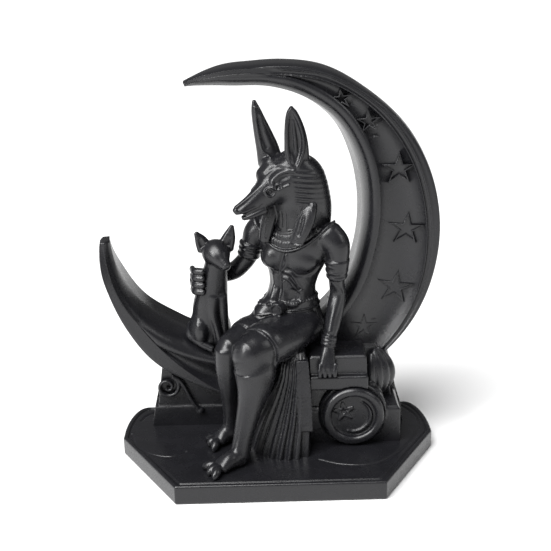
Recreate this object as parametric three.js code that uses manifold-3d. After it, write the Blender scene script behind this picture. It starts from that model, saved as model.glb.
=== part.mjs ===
import * as THREE from 'three';
import { LoftGeometry } from 'three/addons/geometries/LoftGeometry.js';
import { mergeVertices } from 'three/addons/utils/BufferGeometryUtils.js';
import Module from 'manifold-3d';

// All sizes are millimetres. x runs to the right, y to the back, z up. Plan
// positions are first given with the crescent's front face near y = 8 and the
// plinth's front edge at y = -35; PLAN_SHIFT_Y centres the plinth at the end.
const PLAN_SHIFT_Y = 3.5;
const MERGE_TOLERANCE = 1e-4;
const JOIN_TOLERANCE = 0.08;

// Plinth: a flat board with a short front edge, two cut corners and rounded back corners.
const PLINTH_HEIGHT = 7.4;
const PLINTH_FRONT_Y = -35;
const PLINTH_BACK_Y = 28;
const PLINTH_HALF_FRONT = 37.7;
const PLINTH_HALF_WIDTH = 60;
const PLINTH_CUT_END_Y = 2.5;
const PLINTH_SIDE_END_Y = 6.2;
const PLINTH_CORNER_X = 7.1;
const PLINTH_EDGE_BEVEL = 0.5;
// An inset in y is this many times as wide in x.
const PLINTH_INSET_RATIO = 1.15;
const PLINTH_LIP_INSET = 1.6;
const PLINTH_LIP_WIDTH = 0.7;
const PLINTH_LIP_DEPTH = 0.4;
const GROOVE_WIDTH = 1.0;
const GROOVE_DEPTH = 0.6;

// Crescent: radii measured from one centre in the plane of the moon, at set angles.
const MOON_CENTRE_X = -8;
const MOON_CENTRE_Z = 88;
const MOON_FRONT_Y = 8.1;
const MOON_BACK_Y = 27.6;
const MOON_CROWN = 0.9;
const MOON_START_ANGLE = 113.5;
const MOON_END_ANGLE = -175.5;
const MOON_STATIONS = 46;
// Past these angles the faces draw back towards each tip, by these amounts at the tip.
const UPPER_TIP_FROM = 92;
const LOWER_TIP_FROM = -150;
const TIP_FRONT_SETBACK = 3.4;
const UPPER_TIP_BACK_SETBACK = 10;
const LOWER_TIP_BACK_SETBACK = 7.5;
const MOON_OUTER = [[116, 59.2], [100, 60.2], [90, 60.4], [79, 62.0], [66, 64.4], [50, 65.6], [30, 68.1],
  [9, 69.6], [-11, 70.4], [-33, 71.2], [-60, 70.6], [-90, 68.4], [-112, 66.6], [-127, 65.6], [-142, 62.7],
  [-155, 60.7], [-167, 59.7], [-178, 57.0]];
const MOON_WALL_FRONT = [[116, 58.4], [106, 55.2], [97, 53.4], [82, 53.0], [66, 52.3], [54, 51.3],
  [37, 48.0],
  [9, 42.6], [-13, 40.9], [-30, 41.8], [-60, 45.0], [-90, 49.2], [-115, 51.6], [-132, 53.4], [-150, 54.2],
  [-168, 53.6], [-178, 53.6]];
const MOON_WALL_BACK = [[116, 57.6], [97, 52.8], [66, 50.2], [50, 48.2], [35, 44.7], [19, 41.8],
  [3, 40.3],
  [-15, 40.2], [-30, 41.2], [-60, 44.0], [-90, 46.6], [-115, 48.2], [-130, 49.6], [-146, 52.8],
    [-162, 54.2],
  [-178, 54.6]];
const MOON_RIM_BEVEL = 2.4;
const MOON_BEVEL_DEPTH = 3;
const MOON_RIM_WIDTH = 2.6;
// The sunk star field is a smaller crescent inside the front face.
const FIELD_OUTER = [[116, 58.4], [90, 57.6], [80, 57.8], [74, 58.7], [66, 60.4], [50, 62.0], [30, 63.0],
  [5, 63.8], [-30, 67.0], [-60, 68.4], [-85, 67.6], [-104, 65.4], [-112, 62.8], [-126, 59.3],
    [-142, 56.9],
  [-160, 56.6], [-178, 56.6]];
const FIELD_DEPTH = [[116, 0], [84, 0], [76, 0.8], [0, 0.9], [-70, 1.2], [-95, 2.6], [-128, 2.4],
  [-142, 0.5],
  [-150, 0], [-178, 0]];
const FIELD_OUTER_SHARE = [[116, 1], [-60, 1], [-95, 0.25], [-178, 0.25]];
const BEAD_WIDTH = 2.0;
const BEAD_GROOVE = 0.5;
const BEAD_GROOVE_FROM = 78;
const BEAD_GROOVE_TO = -70;

// Five-pointed stars on the sunk field: x, z, radius, turn in degrees.
const STARS = [[23.6, 135.7, 3.4, 12], [33.4, 128.1, 3.9, -8], [44.1, 110.0, 5.2, 14],
  [48.0, 87.3, 5.3, 10],
  [44.4, 64.8, 5.3, 16], [32.5, 49.1, 4.0, 8]];
const STAR_WAIST = 0.42;
const STAR_LINE = 0.62;
const STAR_RISE = 1.0;

// Wheel on the right block: a disc, a rim in front of it and a sunk dish in the rim.
const WHEEL_X = 28.3;
const WHEEL_Z = 19.6;
const WHEEL_DISC_RADIUS = 12.9;
const WHEEL_RIM_RADIUS = 11.6;
const WHEEL_DISH_RADIUS = 8.2;
const WHEEL_RIM_Y = -9.4;
const WHEEL_DISH_Y = -7.6;

// The seated figure is turned to the left of the picture.
const BODY_TURN = -33;
const CHEST_SIDE = [0.84, -0.54, 0];
const LAP_SIDE = [0.83, -0.56, 0];

const TAU = Math.PI * 2;
const wasm = await Module();
wasm.setup();

// Joining tools.
function solid(geometry) {
  const bare = new THREE.BufferGeometry().copy(geometry);
  bare.deleteAttribute('normal');
  bare.deleteAttribute('uv');
  const merged = mergeVertices(bare, MERGE_TOLERANCE);
  const corners = merged.index.array;
  const kept = [];
  for (let i = 0; i < corners.length; i += 3) {
    const [a, b, c] = [corners[i], corners[i + 1], corners[i + 2]];
    if (a !== b && b !== c && c !== a) {
      kept.push(a, b, c);
    }
  }
  const mesh = new wasm.Mesh({
    numProp: 3,
    vertProperties: new Float32Array(merged.attributes.position.array),
    triVerts: new Uint32Array(kept),
  });
  const body = new wasm.Manifold(mesh);
  if (body.volume() < 0) {
    throw new Error('a body faces inwards');
  }
  return body;
}

function joined(bodies) {
  let all = bodies[0];
  for (const body of bodies.slice(1)) {
    all = all.add(body);
  }
  return all;
}

function radians(degrees) {
  return degrees * Math.PI / 180;
}

function v3(x, y, z) {
  return new THREE.Vector3(x, y, z);
}

// Smooth value from a list of [angle, value] rows, through a Catmull-Rom curve.
function rowValue(rows, angle) {
  const up = rows[0][0] > rows[rows.length - 1][0] ? -1 : 1;
  let i = 0;
  while (i < rows.length - 2 && (angle - rows[i + 1][0]) * up > 0) {
    i += 1;
  }
  const a = rows[i];
  const b = rows[i + 1];
  const before = rows[Math.max(i - 1, 0)];
  const after = rows[Math.min(i + 2, rows.length - 1)];
  const span = b[0] - a[0];
  const t = Math.min(Math.max((angle - a[0]) / span, 0), 1);
  const slopeA = i > 0 ? (b[1] - before[1]) / (b[0] - before[0]) * span : b[1] - a[1];
  const slopeB = i < rows.length - 2 ? (after[1] - a[1]) / (after[0] - a[0]) * span : b[1] - a[1];
  const t2 = t * t;
  const t3 = t2 * t;
  const ends = (2 * t3 - 3 * t2 + 1) * a[1] + (3 * t2 - 2 * t3) * b[1];
  return ends + (t3 - 2 * t2 + t) * slopeA + (t3 - t2) * slopeB;
}

// Skin over closed loops; loops that run the wrong way round are turned over. Each
// end is closed by a fan to the middle of its loop.
function loft(sections) {
  const middle = (loop) => loop.reduce((sum, p) => sum.add(p), v3(0, 0, 0)).divideScalar(loop.length);
  const first = sections[0];
  const heart = middle(first);
  const facing = v3(0, 0, 0);
  first.forEach((p, i) => {
    const q = first[(i + 1) % first.length];
    facing.add(p.clone().sub(heart).cross(q.clone().sub(heart)));
  });
  const forwards = facing.dot(middle(sections[1]).sub(heart)) > 0;
  const loops = forwards ? sections : sections.map((loop) => [...loop].reverse());
  const point = (loop) => loop.map(() => middle(loop));
  const all = [point(loops[0]), ...loops, point(loops[loops.length - 1])];
  return solid(new LoftGeometry(all, { closed: true }));
}

// A limb: rows of [x, y, z, half width along side, half width across], oval sections
// square to the run of the row points, rounded at both ends.
function limb(rows, side = [1, 0, 0], sides = 10, dome = 0.62) {
  const points = rows.map((row) => v3(row[0], row[1], row[2]));
  const sections = [];
  const last = points.length - 1;
  const across = v3(...side);
  for (let i = 0; i <= last; i += 1) {
    const tangent = points[Math.min(i + 1, last)].clone().sub(points[Math.max(i - 1, 0)]).normalize();
    const n = across.clone().addScaledVector(tangent, -across.dot(tangent)).normalize();
    const b = tangent.clone().cross(n);
    const ring = (centre, scale) => {
      const loop = [];
      for (let k = 0; k < sides; k += 1) {
        const turn = TAU * k / sides;
        loop.push(centre.clone().addScaledVector(n, rows[i][3] * scale * Math.cos(turn))
          .addScaledVector(b, rows[i][4] * scale * Math.sin(turn)));
      }
      return loop;
    };
    const cap = Math.min(rows[i][3], rows[i][4]);
    if (i === 0 && dome > 0) {
      sections.push(ring(points[i].clone().addScaledVector(tangent, -dome * cap), 0.45));
    }
    sections.push(ring(points[i], 1));
    if (i === last && dome > 0) {
      sections.push(ring(points[i].clone().addScaledVector(tangent, dome * cap), 0.45));
    }
  }
  return loft(sections);
}

function ball(x, y, z, rx, ry, rz, turnZ = 0, segments = 10) {
  const geometry = new THREE.SphereGeometry(1, segments, Math.max(5, Math.round(segments * 0.6)));
  geometry.rotateX(Math.PI / 2);
  geometry.scale(rx, ry, rz);
  geometry.rotateZ(radians(turnZ));
  geometry.translate(x, y, z);
  return solid(geometry);
}

// Oval slabs stacked in height: rows of [z, x, y, half width, half depth], turned about z.
// A sixth number tips the slab: it is the rise for each millimetre towards the back.
function stack(rows, turnDegrees, sides = 14) {
  const turn = radians(turnDegrees);
  const c = Math.cos(turn);
  const s = Math.sin(turn);
  const sections = rows.map((row) => {
    const loop = [];
    for (let k = 0; k < sides; k += 1) {
      const a = TAU * k / sides;
      const u = row[3] * Math.cos(a);
      const w = row[4] * Math.sin(a);
      loop.push(v3(row[1] + u * c - w * s, row[2] + u * s + w * c, row[0] + (row[5] ?? 0) * w));
    }
    return loop;
  });
  return loft(sections);
}

function plate(points, depth, bevel = 0) {
  const shape = new THREE.Shape(points.map((p) => new THREE.Vector2(p[0], p[1])));
  return new THREE.ExtrudeGeometry(shape, {
    depth: depth - 2 * bevel,
    bevelEnabled: bevel > 0,
    bevelThickness: bevel,
    bevelSize: bevel,
    bevelOffset: -bevel,
    bevelSegments: 1,
    steps: 1,
  }).translate(0, 0, bevel);
}

// Plinth outline, front edge first, counterclockwise seen from above.
function plinthOutline(inset) {
  const right = [[PLINTH_HALF_FRONT, PLINTH_FRONT_Y], [PLINTH_HALF_WIDTH, PLINTH_CUT_END_Y]];
  const cornerSteps = 5;
  for (let k = 0; k <= cornerSteps; k += 1) {
    const a = Math.PI / 2 * k / cornerSteps;
    right.push([
      PLINTH_HALF_WIDTH - PLINTH_CORNER_X + PLINTH_CORNER_X * Math.cos(a),
      PLINTH_SIDE_END_Y + (PLINTH_BACK_Y - PLINTH_SIDE_END_Y) * Math.sin(a),
    ]);
  }
  const all = right.concat(right.map((p) => [-p[0], p[1]]).reverse());
  const middleY = (PLINTH_FRONT_Y + PLINTH_BACK_Y) / 2;
  const scaleX = (PLINTH_HALF_WIDTH - inset * PLINTH_INSET_RATIO) / PLINTH_HALF_WIDTH;
  const halfDepth = (PLINTH_BACK_Y - PLINTH_FRONT_Y) / 2;
  const scaleY = (halfDepth - inset) / halfDepth;
  return all.map((p) => [p[0] * scaleX, middleY + (p[1] - middleY) * scaleY]);
}

function plinth() {
  let board = solid(plate(plinthOutline(0), PLINTH_HEIGHT, PLINTH_EDGE_BEVEL));
  const rim = new THREE.Shape(plinthOutline(PLINTH_LIP_INSET).map((p) => new THREE.Vector2(p[0], p[1])));
  const inner = plinthOutline(PLINTH_LIP_INSET + PLINTH_LIP_WIDTH).map((p) => new THREE.Vector2(p[0],
    p[1]));
  rim.holes.push(new THREE.Path(inner));
  const cut = new THREE.ExtrudeGeometry(rim, { depth: PLINTH_LIP_DEPTH * 2, bevelEnabled: false,
    steps: 1 });
  cut.translate(0, 0, PLINTH_HEIGHT - PLINTH_LIP_DEPTH);
  board = board.subtract(solid(cut));
  const grooves = [
    [[-57, 5], [-53.6, -5.5], [-46, -12.3], [-40, -13.4], [-35.1, -9.7]],
    [[-54.5, 15.6], [-52.4, 20.4], [-48.9, 23.1]],
    [[51.1, 24.1], [55.2, 16], [55.6, 7.3], [48.1, -9.1], [33.4, -22.5], [21.0, -21.6], [14.5, -18.2]],
  ];
  for (const line of grooves) {
    board = board.subtract(groove(line));
  }
  return board;
}

// A V-shaped furrow along a smooth line on the plinth's top.
function groove(line) {
  const curve = new THREE.CatmullRomCurve3(line.map((p) => v3(p[0], p[1], PLINTH_HEIGHT)));
  const steps = line.length * 2;
  const sections = [];
  for (let k = 0; k <= steps; k += 1) {
    const t = k / steps;
    const p = curve.getPoint(t);
    const d = curve.getTangent(t);
    const grow = Math.max(Math.sin(Math.PI * t), 0.12) ** 0.5;
    const side = v3(-d.y, d.x, 0).normalize();
    const half = GROOVE_WIDTH / 2 * grow;
    sections.push([
      p.clone().addScaledVector(side, -half).add(v3(0, 0, 0.3)),
      p.clone().add(v3(0, 0, -GROOVE_DEPTH * grow)),
      p.clone().addScaledVector(side, half).add(v3(0, 0, 0.3)),
    ].reverse());
  }
  return loft(sections);
}

function smoothStep(a, b, x) {
  const t = Math.min(Math.max((x - a) / (b - a), 0), 1);
  return t * t * (3 - 2 * t);
}

// Radius and depth of each line of the moon's section at one angle.
function moonLines(angle) {
  const outer = rowValue(MOON_OUTER, angle);
  const wallFront = rowValue(MOON_WALL_FRONT, angle);
  const wallBack = rowValue(MOON_WALL_BACK, angle);
  const upperTip = smoothStep(UPPER_TIP_FROM, MOON_START_ANGLE, angle) ** 2;
  const lowerTip = smoothStep(LOWER_TIP_FROM, MOON_END_ANGLE, angle) ** 2;
  const front = MOON_FRONT_Y + TIP_FRONT_SETBACK * Math.max(upperTip, lowerTip);
  const back = MOON_BACK_Y - UPPER_TIP_BACK_SETBACK * upperTip - LOWER_TIP_BACK_SETBACK * lowerTip;
  return { outer, wallFront, wallBack, front, back };
}

function moonSection(angle) {
  const line = moonLines(angle);
  const thick = line.outer - line.wallFront;
  const room = Math.min(thick / 6, 1);
  const crest = line.wallFront + MOON_RIM_BEVEL * room;
  const fieldOut = Math.min(Math.max(rowValue(FIELD_OUTER, angle), crest + 0.5), line.outer - 1.4);
  const rim = Math.min(crest + MOON_RIM_WIDTH, fieldOut - 0.3);
  const deep = rowValue(FIELD_DEPTH, angle);
  const shallow = deep * rowValue(FIELD_OUTER_SHARE, angle);
  const bead = Math.min(BEAD_WIDTH, (line.outer - fieldOut) * 0.5);
  const y = line.front;
  const crown = MOON_CROWN * room;
  const middle = (line.front + line.back) / 2;
  const grooved = angle < BEAD_GROOVE_FROM && angle > BEAD_GROOVE_TO ? BEAD_GROOVE : 0;
  const profile = [
    [line.outer - crown, line.back],
    [line.outer, middle],
    [line.outer - crown, y],
    [fieldOut + bead, y],
    [fieldOut + bead * 0.84, y + grooved],
    [fieldOut + bead * 0.68, y],
    [fieldOut, y],
    [fieldOut - 0.25, y + shallow],
    [rim + 0.25, y + deep],
    [rim, y],
    [crest, y],
    [line.wallFront, y + MOON_BEVEL_DEPTH * room],
    [line.wallBack, line.back],
  ];
  const c = Math.cos(radians(angle));
  const s = Math.sin(radians(angle));
  return profile.map((p) => v3(MOON_CENTRE_X + p[0] * c, p[1], MOON_CENTRE_Z + p[0] * s));
}

function moon() {
  const sections = [];
  for (let k = 0; k <= MOON_STATIONS; k += 1) {
    const angle = MOON_START_ANGLE + (MOON_END_ANGLE - MOON_START_ANGLE) * k / MOON_STATIONS;
    sections.push(moonSection(angle));
  }
  return loft(sections);
}

function starShape(radius, waist, turnDegrees) {
  const points = [];
  for (let k = 0; k < 10; k += 1) {
    const r = k % 2 === 0 ? radius : radius * waist;
    const a = Math.PI / 2 + radians(turnDegrees) + Math.PI * k / 5;
    points.push(new THREE.Vector2(r * Math.cos(a), r * Math.sin(a)));
  }
  return points;
}

// Star outline standing up from the sunk field, as a ring with ten corners.
function star(x, z, radius, turnDegrees, y, rise) {
  const shape = new THREE.Shape(starShape(radius, STAR_WAIST, turnDegrees));
  shape.holes.push(new THREE.Path(starShape(radius * STAR_LINE, STAR_WAIST, turnDegrees)));
  const geometry = new THREE.ExtrudeGeometry(shape, { depth: rise + 1.2, bevelEnabled: false, steps: 1 });
  geometry.rotateX(Math.PI / 2);
  geometry.translate(x, y + 1.2, z);
  return solid(geometry);
}

function stars() {
  return STARS.map((s) => star(s[0], s[1], s[2], s[3], MOON_FRONT_Y + 0.9, STAR_RISE));
}

// Blocks under the moon.
function boxLoft(levels) {
  const sections = levels.map((l) => [
    v3(l[1], l[3], l[0]),
    v3(l[2], l[3], l[0]),
    v3(l[2], l[4], l[0]),
    v3(l[1], l[4], l[0]),
  ]);
  return loft(sections);
}

function pedestal() {
  const bodies = [
    // back block: lower course, ledge, upper course
    boxLoft([[6.5, -49.6, 50, 11.2, 27.6], [15.6, -48, 48.6, 11.3, 27.4]]),
    boxLoft([[15, -46.8, 47.6, 12, 27.2], [22, -46, 46.6, 12, 27], [33.4, -44.4, 44.6, 12, 26.6],
      [34.6, -43.2, 43.4, 13, 26]]),
    // right block, wall behind the wheel, slab and seat block
    boxLoft([[6.5, 11.9, 46.6, -5.6, 12.5], [20.8, 11.9, 46.3, -5.5, 12.5],
      [22, 12.3, 45.2, -4.6, 12.5]]),
    boxLoft([[20, 12.4, 38.5, -3.6, 13], [31, 12.4, 36.5, -3.4, 13]]),
    boxLoft([[30.6, 11.9, 33.6, -8, 12], [35.4, 11.9, 33.6, -8, 12], [36, 12.4, 33.1, -7.4, 12]]),
    boxLoft([[35.5, 11.9, 33.4, -5.6, 14], [42.4, 11.9, 33.2, -5.4, 14], [43.2, 12.6, 32.6, -4.6, 14]]),
  ];
  return bodies;
}

function tube(radius, y0, y1, x, z, sides) {
  const geometry = new THREE.CylinderGeometry(radius, radius, y1 - y0, sides);
  geometry.translate(x, (y0 + y1) / 2, z);
  return solid(geometry);
}

function wheel() {
  const back = tube(WHEEL_DISC_RADIUS, -5.9, 2, WHEEL_X, WHEEL_Z, 28);
  let front = tube(WHEEL_RIM_RADIUS, WHEEL_RIM_Y, -4, WHEEL_X, WHEEL_Z, 28);
  front = front.subtract(tube(WHEEL_DISH_RADIUS, -12, WHEEL_DISH_Y, WHEEL_X, WHEEL_Z, 24));
  const relief = star(WHEEL_X - 3.6, WHEEL_Z + 1.8, 3.6, 8, WHEEL_DISH_Y, 0.9);
  const crescent = new THREE.Shape();
  crescent.absarc(0, 0, 7.2, radians(62), radians(-110), true);
  crescent.absarc(-1.6, -0.4, 5.9, radians(-98), radians(52), false);
  const arc = new THREE.ExtrudeGeometry(crescent, { depth: 2, bevelEnabled: false, steps: 1,
    curveSegments: 9 });
  arc.rotateX(Math.PI / 2);
  arc.translate(WHEEL_X, -6.6, WHEEL_Z);
  return [back, front, relief, solid(arc)];
}

// Left scroll: a band that winds out from its eye and runs off to a small knob.
function scroll() {
  const rows = [];
  const eye = [-42.6, 24.7];
  const turns = 1.55;
  const steps = 20;
  for (let k = 0; k <= steps; k += 1) {
    const t = k / steps;
    const a = radians(70) - TAU * turns * (1 - t);
    const r = 0.9 + 3.9 * t;
    rows.push([eye[0] + r * Math.cos(a), 11.4 - 1.2 * (1 - 0.3 * t), eye[1] + r * Math.sin(a), 1.0,
      0.55 + 0.35 * t]);
  }
  rows.push([-38.6, 10.7, 28.0, 1.0, 0.9]);
  rows.push([-36.2, 10.7, 24.6, 1.0, 0.9]);
  rows.push([-34.4, 10.7, 20.6, 1.0, 0.8]);
  rows.push([-32.6, 10.7, 17.2, 1.0, 0.7]);
  rows.push([-31.0, 10.7, 15.0, 1.0, 0.7]);
  return [limb(rows, [0, 1, 0], 5), ball(-30.2, 10.9, 13.9, 1.5, 1.4, 1.4, 0, 8)];
}

// Right volute: four flutes that bow outwards, one behind the other.
function volute() {
  const bodies = [];
  const flutes = [[35.6, -0.4, 1.9, 8.8], [38.5, 0.6, 2.1, 9.6], [41.0, 2.0, 2.1, 9.6],
    [43.0, 4.4, 2.4, 9.2]];
  for (const [x, y, r, half] of flutes) {
    const rows = [];
    for (let k = 0; k <= 5; k += 1) {
      const t = -1 + 2 * k / 5;
      const bow = 1 - t * t;
      const lean = (x - 36) * 0.55;
      rows.push([x - lean * (1 - bow) * 1.1, y + 2.2 * t * t, 31.6 + half * t, r * (0.45 + 0.55 * bow),
        r * (0.5 + 0.5 * bow)]);
    }
    bodies.push(limb(rows, [1, 0, 0], 6));
  }
  bodies.push(boxLoft([[20, 33, 44, 5, 20], [32, 33, 43, 4, 20], [42, 30, 37, 5, 20]]));
  return bodies;
}

function torso() {
  return [
    stack([[44, 7.5, 14, 10.5, 8], [50, 7.4, 13.6, 12, 9], [57, 7.2, 12.8, 11.2, 8.6],
      [61.4, 7.4, 11.8, 10.2, 7.6],
      [66, 7.7, 11.4, 9.3, 6.9], [70, 7.8, 11.3, 9.9, 7.2], [75, 7.6, 11.2, 12, 8],
        [80, 7.4, 11, 14.2, 8.3],
      [85, 7.2, 10.8, 15.4, 7.8], [89, 7.4, 10.6, 12.8, 6.8], [92.4, 7.8, 10.4, 8.4, 6]], BODY_TURN, 14),
    // chest plates and belly
    ball(9.6, 3.9, 79.8, 6, 3.6, 4.8, BODY_TURN, 8),
    ball(-0.6, 9.9, 79.8, 6, 3.6, 4.8, BODY_TURN, 8),
    limb([[4.6, 4, 74.6, 1.9, 1.4], [4.9, 4.6, 70.6, 1.9, 1.5],
      [4.7, 4.9, 66.6, 1.7, 1.4]], CHEST_SIDE, 7),
    limb([[0.9, 6.4, 74.6, 1.9, 1.4], [1.2, 7, 70.6, 1.9, 1.5],
      [1.2, 7.3, 66.6, 1.7, 1.4]], CHEST_SIDE, 7),
    // belt with its round buckle
    stack([[58.4, 7.2, 12.2, 11.6, 8.9], [61.0, 7.4, 11.8, 10.9, 8.2],
      [62.6, 7.5, 11.7, 10.4, 7.8]], BODY_TURN, 14),
  ];
}

function buckle() {
  const disc = new THREE.CylinderGeometry(2.5, 2.5, 4, 12);
  disc.rotateZ(radians(BODY_TURN));
  disc.translate(0.7, 2.0, 59.4);
  return solid(disc);
}

function collar() {
  return [
    stack([[84.0, 6.6, 9.6, 15.2, 9.2, 0.42], [85.6, 6.7, 9.7, 15.4, 9.4, 0.42],
      [89.4, 7.2, 10.6, 12.2, 8, 0.25],
      [93.2, 7.8, 10.8, 8.6, 6.6, 0.1]], BODY_TURN, 18),
  ];
}

function arms() {
  return [
    // arm on the right of the picture, down to the slab
    limb([[19.4, 3.6, 87.6, 5.4, 5.2], [22.2, 2.4, 84.4, 5.0, 5.2], [22.9, 2.2, 79.4, 4.0, 4.6],
      [22.0, 2.6, 73.4, 3.5, 4.0],
      [21.8, 3.4, 68.6, 3.0, 3.5], [22.4, 3.6, 64.6, 3.2, 3.4], [21.8, 2.2, 60.0, 3.3, 3.3],
        [20.4, -0.6, 53.4, 2.8, 2.8],
      [19.1, -3.6, 47.6, 2.2, 2.1], [18.6, -6.0, 43.6, 2.8, 1.8], [18.2, -7.8, 39.6, 3.2, 1.4]],
        [1, 0, 0], 10),
    limb([[21.9, 2.7, 71.4, 3.9, 4.4], [22.1, 2.5, 74.4, 4.2, 4.7]], [1, 0, 0], 12, 0),
    limb([[19.1, -3.5, 47.4, 2.7, 2.6], [19.5, -2.6, 49.8, 2.9, 2.8]], [1, 0, 0], 10, 0),
    // arm that goes behind the pup and round it
    limb([[-4.6, 18.4, 87.0, 5.0, 5.0], [-6.8, 18.8, 84.4, 4.8, 5.0], [-8.6, 18.6, 79.6, 3.8, 4.3],
      [-10.0, 18.4, 75.2, 3.5, 3.7],
      [-12.2, 18.8, 72.2, 3.5, 3.5], [-16.0, 20.8, 68.4, 3.5, 3.5], [-21.8, 22.4, 66.6, 3.0, 3.0],
        [-27.4, 21.6, 66.8, 2.4, 2.6],
      [-30.4, 18.0, 67.6, 1.8, 3.4], [-30.9, 13.6, 68.0, 1.5, 4.0]], CHEST_SIDE, 10),
    limb([[-9.5, 18.5, 76.6, 4.3, 4.6], [-8.7, 18.6, 79.4, 4.5, 4.8]], CHEST_SIDE, 12, 0),
  ];
}

function fingers() {
  const bodies = [];
  for (let k = 0; k < 4; k += 1) {
    const x = 15.6 + 1.85 * k;
    bodies.push(limb([[x + 0.3, -7.6, 40.8, 1.0, 1.1], [x, -8.6, 38.4, 0.95, 1.0],
      [x - 0.1, -8.9, 36.6, 0.8, 0.85]], [1, 0, 0], 5));
  }
  for (let k = 0; k < 4; k += 1) {
    const z = 64.0 + 2.7 * k;
    bodies.push(limb([[-31.2, 13.6, z, 1.4, 1.2], [-30.2, 10.2, z + 0.2, 1.4, 1.15],
      [-27.0, 8.2, z + 0.5, 1.25, 1.0]], [0, 0, 1], 5));
  }
  return bodies;
}

function legs() {
  const shinSide = [0.9, -0.43, 0];
  return [
    // knees coming out from under the kilt
    limb([[-3, -5.8, 49.4, 7.8, 6.8], [-8.6, -11.4, 49.2, 7.2, 6.8],
      [-11.2, -14, 48.6, 6, 6]], LAP_SIDE, 10),
    limb([[-8, 6, 48, 7, 6.4], [-13.4, 0, 48, 6.4, 6.2], [-18, -5.4, 47, 5, 5.2]], LAP_SIDE, 10),
    // front shin and calf
    limb([[-11.2, -13, 48.8, 5.8, 5.8], [-8.4, -11.6, 42.6, 7.8, 8.2], [-8.6, -12.4, 36.6, 6.8, 7.2],
      [-10, -14.4, 29.6, 5, 5.4], [-12, -16.6, 22, 4, 4.3], [-13.6, -18.6, 15.4, 3.5, 3.9],
      [-14.4, -19.6, 11.6, 3.6, 4.2]], shinSide, 10),
    // rear shin
    limb([[-18.4, -5.4, 46.8, 4.6, 5], [-18.6, -5, 40, 4.4, 4.8], [-18.2, -4, 32, 3.8, 4.2],
      [-17.8, -2.8, 24, 3.2, 3.6], [-17.9, -1.8, 16, 3, 3.4],
        [-18.2, -1.6, 11.4, 3.1, 3.6]], shinSide, 9),
  ];
}

// A long paw-like foot with three clawed toes, from heel to toe tips.
function foot(heel, tips) {
  const centre = [0, 1].map((k) => (tips[0][k] + tips[2][k]) / 2);
  const ball3 = [heel[0] + (centre[0] - heel[0]) * 0.62, heel[1] + (centre[1] - heel[1]) * 0.62];
  const low = PLINTH_HEIGHT;
  const side = [tips[2][0] - tips[0][0], tips[2][1] - tips[0][1], 0];
  const bodies = [limb([[heel[0], heel[1], low + 2.6, 2.9, 3.2],
    [(heel[0] + ball3[0]) / 2, (heel[1] + ball3[1]) / 2, low + 3.2, 3.1, 3.4],
    [ball3[0], ball3[1], low + 2.0, 3.7, 2.4]], side, 10)];
  for (const tip of tips) {
    const start = [(ball3[0] * 1.6 + tip[0]) / 2.6, (ball3[1] * 1.6 + tip[1]) / 2.6];
    bodies.push(limb([[start[0], start[1], low + 2.2, 1.6, 1.8],
      [(start[0] + tip[0]) / 2, (start[1] + tip[1]) / 2, low + 2.0, 1.7, 1.7],
      [tip[0] * 0.9 + start[0] * 0.1, tip[1] * 0.9 + start[1] * 0.1, low + 1.0, 1.0, 1.1],
        [tip[0], tip[1], low + 0.4, 0.5, 0.6]], side, 7));
  }
  return bodies;
}

// The kilt over the lap and its pleated fall at the front.
function kilt() {
  return [
    limb([[8, 10, 51, 11.6, 8], [2.4, 1.4, 50, 10.8, 7.4], [-2.6, -5.6, 49.8, 9.6, 8],
      [-5.4, -9.2, 49.6, 9, 8.3], [-6.2, -10.2, 49.4, 8.6, 7.9]], LAP_SIDE, 13, 0),
    limb([[3, 16, 47, 9, 7.4], [-5.4, 8.6, 47.9, 8.2, 7.2], [-11.6, 1.8, 48.6, 7.2, 6.9],
      [-12.6, 0.8, 48.4, 6.8, 6.5]], LAP_SIDE, 11, 0),
  ];
}

function drape() {
  const rows = [
    [6.6, [-12.6, -4.6], [-1.5, -17.6], [12.2, -14.8], 1.5],
    [12, [-11, -4.4], [-0.4, -16.4], [12.2, -13.8], 1.4],
    [20, [-7.6, -4.2], [1.6, -14.4], [12.2, -12.2], 1.3],
    [28, [-3.0, -4.6], [3.4, -12.6], [12.0, -11.0], 1.2],
    [36, [0.4, -5.4], [4.8, -11.0], [11.6, -9.8], 1.0],
    [43.4, [2.0, -6.2], [5.6, -9.4], [10.8, -8.2], 0.6],
    [45.8, [3.4, -5.0], [6.4, -7.2], [10.0, -6.4], 0.2],
  ];
  const folds = 8;
  const sections = rows.map(([z, left, mid, right, wave]) => {
    const curve = new THREE.QuadraticBezierCurve(
      new THREE.Vector2(...left),
      new THREE.Vector2(mid[0] * 2 - (left[0] + right[0]) / 2, mid[1] * 2 - (left[1] + right[1]) / 2),
      new THREE.Vector2(...right),
    );
    const loop = [];
    const steps = folds * 2;
    for (let k = 0; k <= steps; k += 1) {
      const p = curve.getPoint(k / steps);
      const d = curve.getTangent(k / steps);
      const out = (k % 2 === 1 ? 0.5 : -0.5) * wave;
      loop.push(v3(p.x + d.y * out, p.y - d.x * out, z));
    }
    loop.push(v3(right[0], 2, z));
    loop.push(v3(left[0] + 2, 2, z));
    return loop;
  });
  return [
    loft(sections),
    boxLoft([[17.2, 7.2, 12.6, -15.2, -8], [30, 7.0, 12.2, -12.6, -8], [43.6, 6.6, 11.2, -10.4, -6]]),
  ];
}

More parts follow.
